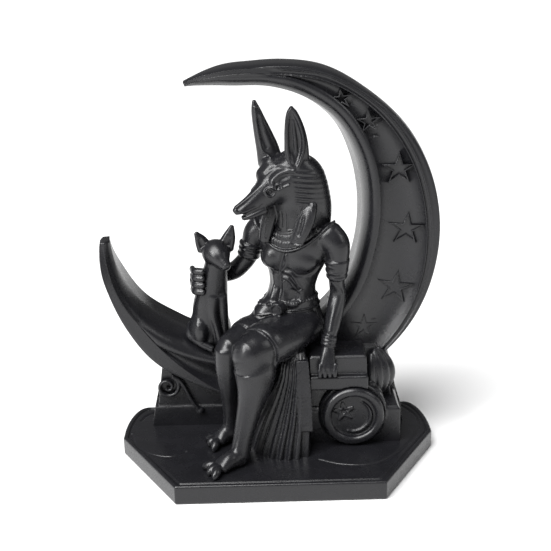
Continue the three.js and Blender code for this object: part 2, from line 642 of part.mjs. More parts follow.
// Head, snout, ears, headdress and lappets.
function head() {
  const headSide = [0.4, -0.92, 0];
  return [
    limb([[9, 8, 108.4, 7.2, 7.8], [4, 6, 107.4, 7, 8.1], [-0.6, 4.2, 105.2, 5.8, 7],
      [-3.6, 2.9, 103, 4.4, 5.7],
      [-6.8, 1.6, 100.8, 3.5, 4.6], [-10.2, 0.2, 98.9, 2.8, 3.4], [-12.8, -0.9, 98.0, 2.2, 2.2],
        [-14.0, -1.4, 97.8, 1.5, 1.4]],
    headSide, 11),
    // brow ridge and eye on the near side, and the same beyond
    limb([[-4.2, -0.6, 107.2, 1.0, 0.9], [-1.4, -1.6, 109, 1.3, 1.0], [2.6, -1.2, 109.6, 1.0, 0.9]],
      [0, 0, 1], 6),
    limb([[-2.8, -1.2, 105.4, 0.9, 0.9], [-0.8, -1.6, 105.8, 1.1, 1.0], [2.4, -1.0, 106.4, 0.6, 0.8]],
      [0, 0, 1], 6),
    limb([[-6.0, 5.4, 107.4, 1.0, 0.9], [-4.4, 7.6, 109, 1.3, 1.2], [-1.0, 9.6, 109.6, 1.0, 0.9]],
      [0, 0, 1], 6),
    // headdress
    stack([[90, 9.4, 11, 11.6, 8.4], [94.4, 10, 10.4, 11.2, 9], [99, 10, 9.4, 11, 9.6],
      [103.6, 9.6, 8.6, 10.6, 9.6],
      [108, 9.2, 7.8, 9.9, 9.2], [112.4, 8.6, 7.2, 8.6, 8.2], [116, 7.2, 6.6, 6.2, 6.4],
        [118, 6, 6, 3, 3.4]], -18, 14),
    // neck and the two lappets on the chest
    limb([[8.4, 9, 96, 6, 6], [7.6, 9, 92, 6.4, 6], [7.4, 9, 87, 7, 6]], [1, 0, 0], 10),
    limb([[14.2, 3.2, 100.6, 3.2, 1.8], [12.4, 0.9, 95.6, 3.9, 1.9], [10.2, -0.4, 90.4, 3.7, 1.7],
      [8.2, -0.4, 85.6, 2.9, 1.5]], CHEST_SIDE, 8),
    limb([[-1.4, 8.4, 96.4, 2.4, 1.8], [-2.8, 7.8, 91.4, 2.5, 1.8], [-3.6, 7.6, 87.4, 2.2, 1.8],
      [-4.2, 7.8, 83.8, 1.9, 1.5]], CHEST_SIDE, 8),
  ];
}

// Tall ear: rows up the ear of [x, y, z, half width, half thickness], with a hollow cut in it.
function ear(rows, side, hollow) {
  let body = limb(rows, side, 9);
  if (hollow) {
    body = body.subtract(limb(hollow, side, 6));
  }
  return body;
}

function ears() {
  return [
    ear([[8.4, 3.2, 114.5, 4.4, 2.9], [8.2, 2.2, 119.5, 4.35, 2.4], [7.7, 1.6, 124.5, 4.0, 2.0],
      [7.0, 1.2, 129.5, 3.2, 1.6],
      [6.2, 1.0, 133.6, 1.9, 1.2]], [1, 0.15, 0],
    [[8.3, -0.1, 117.6, 2.2, 1.3], [8.0, -0.2, 122.6, 2.5, 1.3], [7.4, -0.1, 127.6, 1.9, 1.0],
      [6.7, 0.1, 131.6, 0.9, 0.7]]),
    ear([[-1.2, 10.6, 113.6, 4.6, 3.0], [-2.0, 10.2, 118, 4.1, 2.6], [-3.6, 9.8, 123.4, 3.3, 2.2],
      [-5.3, 9.6, 129, 2.2, 1.7],
      [-6.8, 9.4, 135.0, 1.0, 1.0]], [1, 0.15, 0]),
  ];
}

function pup() {
  const bodies = [
    // body, haunches, forelegs
    limb([[-25.6, 16, 44, 6.4, 6.4], [-25.2, 15, 52, 6.9, 6.2], [-24.8, 14, 58, 6.6, 5.8],
      [-23.8, 13.2, 64, 5.8, 5.2],
      [-22.8, 12.6, 70, 4.9, 4.7], [-22, 12, 74.4, 4.4, 4.4]], [1, 0, 0], 10),
    ball(-29.6, 13, 47.8, 3.6, 5.8, 6.6, 20, 8),
    ball(-20.6, 16, 47, 3.2, 5.6, 5.6, -10, 8),
    limb([[-23.4, 9.8, 62, 2.3, 2.2], [-23.7, 9.4, 56, 1.9, 1.9], [-22.4, 9.6, 49.6, 1.5, 1.6],
      [-21.2, 10.2, 42.6, 1.5, 1.8]], [1, 0, 0], 7),
    limb([[-20.2, 10.6, 62, 2.1, 2.2], [-19.7, 10.8, 55, 1.7, 1.8], [-19.5, 11.4, 48, 1.5, 1.6],
      [-19.6, 11.8, 42, 1.5, 1.6]], [1, 0, 0], 6),
    limb([[-33.0, 17, 48.0, 1.4, 1.4], [-33.4, 13.4, 45.6, 1.4, 1.4], [-29.4, 10, 43.4, 1.4, 1.4],
      [-24.6, 8.4, 41.2, 1.3, 1.3]], [0, 0, 1], 6),
    // head and muzzle
    limb([[-22.4, 14, 79.0, 5.0, 4.6], [-21.8, 11.4, 79.0, 5.5, 5.0], [-20.6, 8.6, 78.2, 4.4, 4.2],
      [-19.2, 6.2, 76.8, 2.7, 2.7],
      [-18.0, 4.6, 75.8, 1.8, 1.8]], [0.85, 0.5, 0], 9),
  ];
  bodies.push(ear([[-26.2, 13, 80.4, 3.0, 2.0], [-27.6, 12.8, 83.6, 2.3, 1.6],
    [-29.2, 12.6, 86.4, 0.9, 0.8]], [1, 0.2, 0.5],
    [[-26.9, 11.0, 81.6, 1.4, 0.8], [-28.0, 11.3, 84.4, 0.9, 0.5]]));
  bodies.push(ear([[-18.4, 13, 80.6, 3.2, 2.0], [-17.0, 12.8, 84.6, 2.5, 1.7],
    [-15.8, 12.6, 88.8, 0.9, 0.8]], [1, 0, -0.3],
    [[-18.0, 11.0, 82, 1.5, 0.8], [-16.9, 11.3, 85.6, 0.9, 0.5]]));
  return bodies;
}

const everything = joined([
  plinth(),
  moon(),
  ...stars(),
  ...pedestal(),
  ...wheel(),
  ...scroll(),
  ...volute(),
  ...torso(),
  buckle(),
  ...collar(),
  ...arms(),
  ...fingers(),
  ...legs(),
  ...foot([-14.4, -20.4], [[-27.9, -23.5], [-25.9, -28.3], [-23.7, -31.6]]),
  ...foot([-18, -1.6], [[-27.5, -2.9], [-26.5, -6.9], [-24.5, -11.2]]),
  ...kilt(),
  ...drape(),
  ...head(),
  ...ears(),
  ...pup(),
]);

// One closed body as a named mesh.
function meshOf(name, body, colour) {
  const data = body.getMesh();
  const geometry = new THREE.BufferGeometry();
  const positions = new Float32Array(data.numVert * 3);
  for (let i = 0; i < data.numVert; i += 1) {
    for (let k = 0; k < 3; k += 1) {
      positions[i * 3 + k] = data.vertProperties[i * data.numProp + k];
    }
  }
  geometry.setAttribute('position', new THREE.BufferAttribute(positions, 3));
  geometry.setIndex(new THREE.BufferAttribute(new Uint32Array(data.triVerts), 1));
  geometry.computeVertexNormals();
  const material = new THREE.MeshStandardMaterial({ color: colour, roughness: 0.42, metalness: 0 });
  const mesh = new THREE.Mesh(geometry, material);
  mesh.name = name;
  return mesh;
}

const part = new THREE.Group();
part.name = 'anubis_figurine_part';
part.add(meshOf('anubis_figurine', everything.translate([0, PLAN_SHIFT_Y,
  0]).asOriginal().simplify(JOIN_TOLERANCE), 0x17171a));

export default part;
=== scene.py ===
import math

import bpy
import numpy as np
import openvdb as vdb
from mathutils import Matrix


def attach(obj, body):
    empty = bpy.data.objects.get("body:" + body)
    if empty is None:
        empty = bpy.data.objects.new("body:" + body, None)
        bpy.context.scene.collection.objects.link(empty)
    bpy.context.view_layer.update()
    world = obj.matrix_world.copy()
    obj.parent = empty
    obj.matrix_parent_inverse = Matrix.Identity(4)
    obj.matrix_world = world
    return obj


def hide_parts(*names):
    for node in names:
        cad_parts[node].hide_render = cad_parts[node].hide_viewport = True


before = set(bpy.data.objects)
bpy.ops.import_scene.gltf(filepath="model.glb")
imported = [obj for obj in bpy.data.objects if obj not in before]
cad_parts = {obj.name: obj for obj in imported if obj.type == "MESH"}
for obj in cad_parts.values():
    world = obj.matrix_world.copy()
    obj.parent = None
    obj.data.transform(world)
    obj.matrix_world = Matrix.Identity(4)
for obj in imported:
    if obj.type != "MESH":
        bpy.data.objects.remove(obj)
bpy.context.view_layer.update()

# Sizes are millimetres in the plan: x right, y to the back, z up, with the crescent's
# front near y = 8. The plan is moved back by PLAN_SHIFT_Y and scaled to metres.
MM = 0.001
PLAN_SHIFT_Y = 3.5
NODE = "anubis_figurine"
BAND = 2.0

# Plinth
PLINTH_HEIGHT = 7.4
PLINTH_FRONT_Y = -35.0
PLINTH_BACK_Y = 28.0
PLINTH_HALF_FRONT = 37.7
PLINTH_HALF_WIDTH = 60.0
PLINTH_CUT_END_Y = 2.5
PLINTH_SIDE_END_Y = 6.2
PLINTH_CORNER_X = 7.1
PLINTH_LIP_INSET = 1.6
PLINTH_LIP_WIDTH = 0.7

# Crescent
MOON_CENTRE_X = -8.0
MOON_CENTRE_Z = 88.0
MOON_FRONT_Y = 8.1
MOON_BACK_Y = 27.6
MOON_CROWN = 0.9
MOON_START_ANGLE = 113.5
MOON_END_ANGLE = -175.5
MOON_STATIONS = 420
MOON_OUTER = [(116, 59.2), (100, 60.2), (90, 60.4), (79, 62.0), (66, 64.4), (50, 65.6), (30, 68.1),
              (9, 69.6), (-11, 70.4), (-33, 71.2), (-60, 70.6), (-90, 68.4), (-112, 66.6), (-127, 65.6),
              (-142, 62.7), (-155, 60.7), (-167, 59.7), (-178, 57.0)]
MOON_WALL_FRONT = [(116, 58.4), (106, 55.2), (97, 53.4), (82, 53.0), (66, 52.3), (54, 51.3), (37, 48.0),
                   (9, 42.6), (-13, 40.9), (-30, 41.8), (-60, 45.0), (-90, 49.2), (-115, 51.6),
                   (-132, 53.4), (-150, 54.2), (-168, 53.6), (-178, 53.6)]
MOON_WALL_BACK = [(116, 57.6), (97, 52.8), (66, 50.2), (50, 48.2), (35, 44.7), (19, 41.8), (3, 40.3),
                  (-15, 40.2), (-30, 41.2), (-60, 44.0), (-90, 46.6), (-115, 48.2), (-130, 49.6),
                  (-146, 52.8), (-162, 54.2), (-178, 54.6)]
MOON_RIM_BEVEL = 2.4
MOON_BEVEL_DEPTH = 3.0
MOON_RIM_WIDTH = 2.6
FIELD_OUTER = [(116, 58.4), (90, 57.6), (80, 57.8), (74, 58.7), (66, 60.4), (50, 62.0), (30, 63.0),
               (5, 63.8), (-30, 67.0), (-60, 68.4), (-85, 67.6), (-104, 65.4), (-112, 62.8),
               (-126, 59.3), (-142, 56.9), (-160, 56.6), (-178, 56.6)]
FIELD_DEPTH = [(116, 0), (84, 0), (76, 0.8), (0, 0.9), (-70, 1.2), (-95, 2.6), (-128, 2.4), (-142, 0.5),
               (-150, 0), (-178, 0)]
FIELD_OUTER_SHARE = [(116, 1), (-60, 1), (-95, 0.25), (-178, 0.25)]
BEAD_WIDTH = 2.0
BEAD_GROOVE = 0.3
BEAD_RAISED = 0.4
DOTS_END = 62.0
DOT_STEP = 1.75
STARS = [(24.3, 136.0, 3.4, 8), (34.1, 127.8, 4.0, 5), (45.4, 110.2, 5.8, 0), (48.7, 87.5, 6.0, -5),
         (45.1, 64.8, 6.3, -9), (33.5, 49.1, 4.6, -2)]
STAR_WAIST = 0.34
STAR_STRETCH = 1.06
STAR_LINE = 0.24
STAR_FACE_Y = 8.55
STAR_FOOT_Y = 9.8
RAYS = [((19.6, 133.6), (20.8, 133.7)), ((27.8, 133.9), (28.6, 133.8)), ((27.3, 129.8), (28.7, 129.7)),
        ((36.9, 126.3), (37.8, 126.4)), ((35.8, 122.3), (38.1, 122.4)), ((36.4, 52.0), (37.8, 52.1))]

# Seated figure
BODY_TURN = -33.0
CHEST_SIDE = (0.84, -0.54, 0.0)
LAP_SIDE = (0.83, -0.56, 0.0)
SHIN_SIDE = (0.9, -0.43, 0.0)
HEAD_SIDE = (0.4, -0.92, 0.0)
HEAD_TURN = -18.0


# Curves and closed forms

def unit(v):
    return v / np.linalg.norm(v)


def smooth_rows(rows, per=5):
    """Rows of numbers resampled along one smooth curve through them."""
    rows = np.array(rows, float)
    gaps = np.linalg.norm(np.diff(rows[:, :3], axis=0), axis=1)
    at = np.concatenate([[0.0], np.cumsum(np.maximum(gaps, 1e-3))])
    slopes = np.gradient(rows, at, axis=0) if len(rows) > 2 else np.repeat(
        (rows[1:] - rows[:1]) / at[-1], 2, axis=0)
    out = []
    for i in range(len(rows) - 1):
        span = at[i + 1] - at[i]
        for k in range(per):
            t = k / per
            a = 2 * t**3 - 3 * t**2 + 1
            b = t**3 - 2 * t**2 + t
            c = 3 * t**2 - 2 * t**3
            d = t**3 - t**2
            out.append(a * rows[i] + b * span * slopes[i] + c * rows[i + 1] + d * span * slopes[i + 1])
    out.append(rows[-1])
    return np.array(out)


def skin(rings):
    """Closed form over rings of points, with a fan at both ends: (points, quads, triangles)."""
    rings = np.array(rings, np.float32)
    count, sides = rings.shape[:2]
    points = rings.reshape(-1, 3)
    first = np.arange(sides)
    following = (first + 1) % sides
    quads = []
    for i in range(count - 1):
        low = i * sides
        high = low + sides
        quads.append(np.stack([low + first, low + following, high + following, high + first], 1))
    ends = np.stack([rings[0].mean(0), rings[-1].mean(0)])
    points = np.concatenate([points, ends])
    last = (count - 1) * sides
    fan_a = np.stack([following, first, np.full(sides, len(points) - 2)], 1)
    fan_b = np.stack([last + first, last + following, np.full(sides, len(points) - 1)], 1)
    return points, np.concatenate(quads).astype(np.uint32), np.concatenate([fan_a, fan_b]).astype(np.uint32)


def limb(rows, side=(1.0, 0.0, 0.0), dome=0.66, sides=32, per=5, power=2.0):
    """Oval sections square to a smooth run of rows (x, y, z, half width along side, half across)."""
    rows = smooth_rows(rows, per)
    centres = rows[:, :3]
    tangents = np.gradient(centres, axis=0)
    tangents /= np.linalg.norm(tangents, axis=1, keepdims=True)
    across = np.array(side, float)
    angles = np.arange(sides) * 2 * math.pi / sides
    cosine = np.sign(np.cos(angles)) * np.abs(np.cos(angles)) ** (2 / power)
    sine = np.sign(np.sin(angles)) * np.abs(np.sin(angles)) ** (2 / power)
    rings = []

    def ring(i, shift, scale):
        n = unit(across - across.dot(tangents[i]) * tangents[i])
        b = np.cross(tangents[i], n)
        middle = centres[i] + tangents[i] * shift
        return (middle + scale * rows[i, 3] * cosine[:, None] * n
                + scale * rows[i, 4] * sine[:, None] * b)

    steps = 5
    last = len(rows) - 1
    for k in range(steps):
        a = math.pi / 2 * (k + 0.4) / (steps + 0.4)
        cap = min(rows[0, 3:5])
        if dome > 0:
            rings.append(ring(0, -dome * cap * math.cos(a), math.sin(a)))
    for i in range(len(rows)):
        rings.append(ring(i, 0, 1))
    for k in reversed(range(steps)):
        a = math.pi / 2 * (k + 0.4) / (steps + 0.4)
        cap = min(rows[last, 3:5])
        if dome > 0:
            rings.append(ring(last, dome * cap * math.cos(a), math.sin(a)))
    return skin(rings)


def stroke(points, radius, flat=1.0, side=(0.3, 0.0, 1.0), per=5):
    """A thin round line through points."""
    return limb([(*p, radius, radius * flat) for p in points], side, 0.8, 10, per)


def stack(rows, turn, sides=64, per=5):
    """Oval slabs stacked in height: rows of z, x, y, half width, half depth, optional tilt."""
    table = [[r[1], r[2], r[0], r[3], r[4], r[5] if len(r) > 5 else 0.0] for r in rows]
    table = smooth_rows(table, per)
    c = math.cos(math.radians(turn))
    s = math.sin(math.radians(turn))
    angles = np.arange(sides) * 2 * math.pi / sides
    rings = []
    for x, y, z, a, b, tilt in table:
        u = a * np.cos(angles)
        w = b * np.sin(angles)
        rings.append(np.stack([x + u * c - w * s, y + u * s + w * c, z + tilt * w], 1))
    return skin(rings)


def ball(x, y, z, rx, ry, rz, turn=0.0, lean=0.0, sides=28):
    """An oval ball, turned about z and then leaned about its own x."""
    rings = []
    spin = Matrix.Rotation(math.radians(turn), 3, "Z") @ Matrix.Rotation(math.radians(lean), 3, "X")
    spin = np.array(spin)
    angles = np.arange(sides) * 2 * math.pi / sides
    for k in range(1, sides // 2):
        a = math.pi * k / (sides // 2)
        ring = np.stack([rx * math.sin(a) * np.cos(angles), ry * math.sin(a) * np.sin(angles),
                         np.full(sides, rz * math.cos(a))], 1)
        rings.append(ring @ spin.T + (x, y, z))
    return skin(rings)


def box(levels):
    """Boxes joined in height: levels of z, x0, x1, y0, y1."""
    return skin([[(x0, y0, z), (x1, y0, z), (x1, y1, z), (x0, y1, z)] for z, x0, x1, y0, y1 in levels])


def disc(x, z, radius, y0, y1, sides=72, edge=0.0):
    """A round plate facing the front, with softened edges."""
    angles = np.arange(sides) * 2 * math.pi / sides
    rings = []
    for y, r in ((y0, radius - edge), (y0 + edge, radius), (y1 - edge, radius), (y1, radius - edge)):
        rings.append(np.stack([x + r * np.cos(angles), np.full(sides, y), z + r * np.sin(angles)], 1))
    return skin(rings)


# Clay: a block of voxels that forms are joined to and carved from

class Clay:
    def __init__(self, low, high, voxel):
        self.voxel = voxel
        self.low = np.floor(np.array(low) / voxel).astype(int)
        self.high = np.ceil(np.array(high) / voxel).astype(int)
        self.depth = np.full(self.high - self.low + 1, BAND, np.float32)

    def shape_field(self, form):
        """The form's signed distance inside this block: (slices, values)."""
        points, quads, triangles = form
        reach = BAND / self.voxel
        grid = vdb.FloatGrid.createLevelSetFromPolygons(
            points.astype(np.float32), triangles=triangles, quads=quads,
            transform=vdb.createLinearTransform(self.voxel), exBandWidth=reach, inBandWidth=reach)
        low, high = grid.evalActiveVoxelBoundingBox()
        low = np.maximum(low, self.low)
        high = np.minimum(high, self.high)
        if (high < low).any():
            return None, None
        values = np.full(high - low + 1, BAND, np.float32)
        grid.copyToArray(values, ijk=tuple(int(v) for v in low))
        start = low - self.low
        end = high - self.low + 1
        return tuple(slice(a, b) for a, b in zip(start, end)), values

    def add(self, *forms, blend=0.0):
        for form in forms:
            where, values = self.shape_field(form)
            if where is None:
                continue
            here = self.depth[where]
            joined = np.minimum(here, values)
            if blend > 0:
                near = np.clip(blend - np.abs(here - values), 0, None) / blend
                joined -= near * near * blend / 4
            self.depth[where] = joined
        return self

    def cut(self, *forms, blend=0.0):
        for form in forms:
            where, values = self.shape_field(form)
            if where is None:
                continue
            here = self.depth[where]
            left = np.maximum(here, -values)
            if blend > 0:
                near = np.clip(blend - np.abs(here + values), 0, None) / blend
                left += near * near * blend / 4
            self.depth[where] = left
        return self

    def window(self, low, high):
        """The part of the block between two corners: slices and the axes inside it."""
        start = np.clip(np.floor(np.array(low) / self.voxel).astype(int), self.low, self.high)
        end = np.clip(np.ceil(np.array(high) / self.voxel).astype(int), self.low, self.high)
        where = tuple(slice(a, b + 1) for a, b in zip(start - self.low, end - self.low))
        lines = [np.arange(a, b + 1, dtype=np.float32) * self.voxel for a, b in zip(start, end)]
        return where, (lines[0][:, None, None], lines[1][None, :, None], lines[2][None, None, :])

    def relief(self, low, high, height_of):
        """Raises the surface between two corners by height_of(x, y, z)."""
        where, (x, y, z) = self.window(low, high)
        self.depth[where] -= height_of(x, y, z)
        return self

    def draw(self, points, width, height, lax=(0.0, 1.0, 0.0), slack=4.0, per=4):
        """Raises the surface, or sinks it, along a line that runs close to it along lax."""
        line = smooth_rows(points, per) if len(points) > 2 else np.array(points, float)
        lax = unit(np.array(lax, float))
        margin = width * (1 + (slack - 1) * np.abs(lax))
        where, axes = self.window(line.min(0) - margin, line.max(0) + margin)
        share = np.zeros([len(a.ravel()) for a in axes], np.float32)
        first = [float(a.ravel()[0]) for a in axes]
        squeeze = np.eye(3) - (1 - 1 / slack) * np.outer(lax, lax)
        for a, b in zip(line[:-1], line[1:]):
            low = np.minimum(a, b) - margin
            high = np.maximum(a, b) + margin
            start = [int(max(0, (low[k] - first[k]) // self.voxel)) for k in range(3)]
            end = [int(min(share.shape[k], (high[k] - first[k]) // self.voxel + 2)) for k in range(3)]
            if any(start[k] >= end[k] for k in range(3)):
                continue
            part = tuple(slice(start[k], end[k]) for k in range(3))
            near = [axes[k].ravel()[part[k]] for k in range(3)]
            spots = np.stack(np.meshgrid(*near, indexing="ij"), -1) - a.astype(np.float32)
            spots = spots @ squeeze.T.astype(np.float32)
            step = (squeeze @ (b - a)).astype(np.float32)
            t = np.clip(spots @ step / max(float(step @ step), 1e-9), 0, 1)
            spots -= t[..., None] * step
            gap = (spots * spots).sum(-1) / (width * width)
            share[part] = np.maximum(share[part], np.clip(1 - gap, 0, 1) ** 2)
        self.depth[where] -= height * share
        return self

    def piece(self, name, most_triangles):
        grid = vdb.FloatGrid(BAND)
        grid.copyFromArray(self.depth, ijk=tuple(int(v) for v in self.low))
        grid.transform = vdb.createLinearTransform(self.voxel)
        points, triangles, quads = grid.convertToPolygons(0.0, 0.0)
        obj = mesh_piece(name, points, quads[:, ::-1], triangles[:, ::-1])
        total = 2 * len(quads) + len(triangles)
        if total > most_triangles:
            slim = obj.modifiers.new("slim", "DECIMATE")
            slim.ratio = most_triangles / total
            apply_modifiers(obj)
        print(name, total, sum(len(p.vertices) - 2 for p in obj.data.polygons))
        return obj


def apply_modifiers(obj):
    for other in bpy.context.selected_objects:
        other.select_set(False)
    bpy.context.view_layer.objects.active = obj
    obj.select_set(True)
    for modifier in list(obj.modifiers):
        bpy.ops.object.modifier_apply(modifier=modifier.name)
    obj.select_set(False)


def mesh_piece(name, points, quads, triangles=()):
    """A smooth mesh object from plan millimetres."""
    placed = (np.array(points, float) + (0, PLAN_SHIFT_Y, 0)) * MM
    faces = [list(map(int, q)) for q in quads] + [list(map(int, t)) for t in triangles]
    data = bpy.data.meshes.new(name)
    data.from_pydata(placed.tolist(), [], faces)
    data.validate()
    obj = bpy.data.objects.new(name, data)
    bpy.context.scene.collection.objects.link(obj)
    for polygon in data.polygons:
        polygon.use_smooth = True
    return obj


# Crescent

def row_value(rows, angle):
    """Smooth value at an angle from falling (angle, value) rows."""
    table = sorted(rows)
    at = np.array([r[0] for r in table], float)
    value = np.array([r[1] for r in table], float)
    slopes = np.gradient(value, at)
    i = int(np.clip(np.searchsorted(at, angle) - 1, 0, len(at) - 2))
    span = at[i + 1] - at[i]
    t = float(np.clip((angle - at[i]) / span, 0, 1))
    ends = (2 * t**3 - 3 * t**2 + 1) * value[i] + (3 * t**2 - 2 * t**3) * value[i + 1]
    return ends + span * ((t**3 - 2 * t**2 + t) * slopes[i] + (t**3 - t**2) * slopes[i + 1])


def smooth_step(a, b, x):
    t = min(max((x - a) / (b - a), 0), 1)
    return t * t * (3 - 2 * t)


def dotted(angle):
    """1 on a dot and 0 between dots, along the first stretch of the two lines."""
    return 0.5 + 0.5 * math.cos(2 * math.pi * angle / DOT_STEP)


def moon_section(angle):
    """The crescent's section at one angle: radius and depth of each line."""
    outer = row_value(MOON_OUTER, angle)
    wall_front = row_value(MOON_WALL_FRONT, angle)
    wall_back = row_value(MOON_WALL_BACK, angle)
    upper = smooth_step(92, 113.5, angle)
    lower = smooth_step(-150, -175.5, angle)
    front = MOON_FRONT_Y + 3.4 * max(upper**2, lower**2)
    back = MOON_BACK_Y - 10 * upper**2 - 7.5 * lower**2
    room = min((outer - wall_front) / 6, 1)
    crest = wall_front + MOON_RIM_BEVEL * room
    field_out = min(max(row_value(FIELD_OUTER, angle), crest + 0.5), outer - 1.4)
    rim = min(crest + MOON_RIM_WIDTH, field_out - 0.3)
    deep = row_value(FIELD_DEPTH, angle)
    shallow = deep * row_value(FIELD_OUTER_SHARE, angle)
    bead = min(BEAD_WIDTH, (outer - field_out) * 0.5)
    crown = MOON_CROWN * room
    middle = (front + back) / 2
    lined = smooth_step(84, 76, angle) * smooth_step(-76, -66, angle)
    grooved = BEAD_GROOVE * lined
    raised = BEAD_RAISED * lined * (1 if angle < DOTS_END else dotted(angle))
    bulge = 0.5 * room
    return [
        (outer - crown, back),
        (outer - crown * 0.3, (middle + back) / 2),
        (outer, middle),
        (outer - crown * 0.3, (middle + front) / 2),
        (outer - crown, front + 0.25),
        (outer - crown - 0.25, front),
        ((outer + field_out + bead) / 2 - crown * 0.5, front - 0.1 * room),
        (field_out + bead + 0.3, front),
        (field_out + bead + 0.12, front - raised),
        (field_out + bead - 0.12, front - raised),
        (field_out + bead - 0.3, front + grooved),
        (field_out + 0.3, front + grooved),
        (field_out + 0.12, front - raised),
        (field_out - 0.12, front - raised),
        (field_out - 0.2, front + shallow),
        (rim + 0.25, front + deep),
        (rim, front),
        ((rim + crest) / 2, front - bulge * 0.5),
        (crest, front),
        ((crest + wall_front) / 2 + 0.25 * room, front + MOON_BEVEL_DEPTH * room * 0.35),
        (wall_front, front + MOON_BEVEL_DEPTH * room),
        (wall_front * 0.5 + wall_back * 0.5, middle),
        (wall_back, back),
    ]


def crescent_form():
    rings = []
    for k in range(MOON_STATIONS + 1):
        angle = MOON_START_ANGLE + (MOON_END_ANGLE - MOON_START_ANGLE) * k / MOON_STATIONS
        c = math.cos(math.radians(angle))
        s = math.sin(math.radians(angle))
        rings.append([(MOON_CENTRE_X + r * c, y, MOON_CENTRE_Z + r * s) for r, y in moon_section(angle)])
    return skin(rings)


def star_corners(x, z, radius, turn):
    corners = []
    for k in range(10):
        r = radius if k % 2 == 0 else radius * STAR_WAIST
        a = math.pi / 2 + math.radians(turn) + math.pi * k / 5
        corners.append((x + STAR_STRETCH * r * math.cos(a), z + r * math.sin(a)))
    return corners


def raised_outline(corners, half_width, face_y, foot_y):
    """A raised line along a closed outline, with a low rounded top: (points, quads)."""
    corners = np.array(corners, float)
    before = corners - np.roll(corners, 1, 0)
    before /= np.linalg.norm(before, axis=1, keepdims=True)
    after = np.roll(before, -1, 0)
    left_a = np.stack([-before[:, 1], before[:, 0]], 1)
    left_b = np.stack([-after[:, 1], after[:, 0]], 1)
    mitre = left_a + left_b
    mitre /= np.linalg.norm(mitre, axis=1, keepdims=True)
    reach = 1 / np.clip((mitre * left_a).sum(1), 0.45, 1)
    mitre *= reach[:, None]
    soft = 0.16
    profile = [(-1.0, foot_y), (-1.0, face_y + soft), (-0.55, face_y), (0.55, face_y), (1.0, face_y + soft),
               (1.0, foot_y)]
    count = len(corners)
    points = []
    for share, y in profile:
        line = corners + mitre * half_width * share
        points += [(px, y, pz) for px, pz in line]
    quads = []
    sides = len(profile)
    for i in range(sides):
        for k in range(count):
            a = i * count + k
            b = i * count + (k + 1) % count
            j = (i + 1) % sides
            quads.append((a, b, j * count + (k + 1) % count, j * count + k))
    return np.array(points), np.array(quads)


# Plinth, blocks, wheel, scroll and volute

def plinth_outline(inset, corner_steps=24):
    right = [(PLINTH_HALF_FRONT, PLINTH_FRONT_Y), (PLINTH_HALF_WIDTH, PLINTH_CUT_END_Y)]
    for k in range(corner_steps + 1):
        a = math.pi / 2 * k / corner_steps
        right.append((PLINTH_HALF_WIDTH - PLINTH_CORNER_X + PLINTH_CORNER_X * math.cos(a),
                      PLINTH_SIDE_END_Y + (PLINTH_BACK_Y - PLINTH_SIDE_END_Y) * math.sin(a)))
    outline = right + [(-x, y) for x, y in reversed(right)]
    middle = (PLINTH_FRONT_Y + PLINTH_BACK_Y) / 2
    half = (PLINTH_BACK_Y - PLINTH_FRONT_Y) / 2
    scale_x = (PLINTH_HALF_WIDTH - inset * 1.15) / PLINTH_HALF_WIDTH
    scale_y = (half - inset) / half
    return [(x * scale_x, middle + (y - middle) * scale_y) for x, y in outline]


def board(inset, z0, z1, edge=0.0):
    levels = ((z0, inset + edge), (z0 + edge, inset), (z1 - edge, inset), (z1, inset + edge))
    return skin([[(x, y, z) for x, y in plinth_outline(i)] for z, i in levels])


def plinth_piece():
    clay = Clay((-62, -37, -1), (62, 30, 9), 0.32)
    clay.add(board(0, 0, PLINTH_HEIGHT, 0.5))
    rim = Clay((-62, -37, -1), (62, 30, 9), 0.32)
    rim.add(board(PLINTH_LIP_INSET, PLINTH_HEIGHT - 0.45, PLINTH_HEIGHT + 2))
    rim.cut(board(PLINTH_LIP_INSET + PLINTH_LIP_WIDTH, PLINTH_HEIGHT - 2, PLINTH_HEIGHT + 4))
    clay.depth = np.maximum(clay.depth, -rim.depth)
    grooves = [
        [(-57, 5), (-53.6, -5.5), (-46, -12.3), (-40, -13.4), (-35.1, -9.7)],
        [(-54.5, 15.6), (-52.4, 20.4), (-48.9, 23.1)],
        [(51.1, 24.1), (55.2, 16), (55.6, 7.3), (48.1, -9.1), (33.4, -22.5), (21.0, -21.6), (14.5, -18.2)],
    ]
    for line in grooves:
        clay.cut(stroke([(x, y, PLINTH_HEIGHT + 0.15) for x, y in line], 0.6), blend=0.3)
    return clay.piece("plinth_board", 90000)


def blocks_piece():
    clay = Clay((-52, -12, 5), (52, 29, 46), 0.3)
    clay.add(
        box([(6.5, -49.6, 50, 11.2, 27.6), (15.6, -48, 48.6, 11.3, 27.4)]),
        box([(15, -46.8, 47.6, 12, 27.2), (22, -46, 46.6, 12, 27), (33.4, -44.4, 44.6, 12, 26.6),
             (34.6, -43.2, 43.4, 13, 26)]),
        box([(6.5, 11.9, 46.6, -5.6, 12.5), (20.8, 11.9, 46.3, -5.5, 12.5), (22, 12.3, 45.2, -4.6, 12.5)]),
        box([(20, 12.4, 38.5, -3.6, 13), (31, 12.4, 36.5, -3.4, 13)]),
        box([(30.6, 11.9, 33.6, -8, 12), (35.4, 11.9, 33.6, -8, 12), (36, 12.4, 33.1, -7.4, 12)]),
        box([(35.5, 11.9, 33.4, -5.6, 14), (42.4, 11.9, 33.2, -5.4, 14), (43.2, 12.6, 32.6, -4.6, 14)]),
        blend=0.5)
    wheel(clay)
    scroll(clay)
    volute(clay)
    return clay.piece("seat_blocks", 180000)


WHEEL_X = 28.3
WHEEL_Z = 19.6


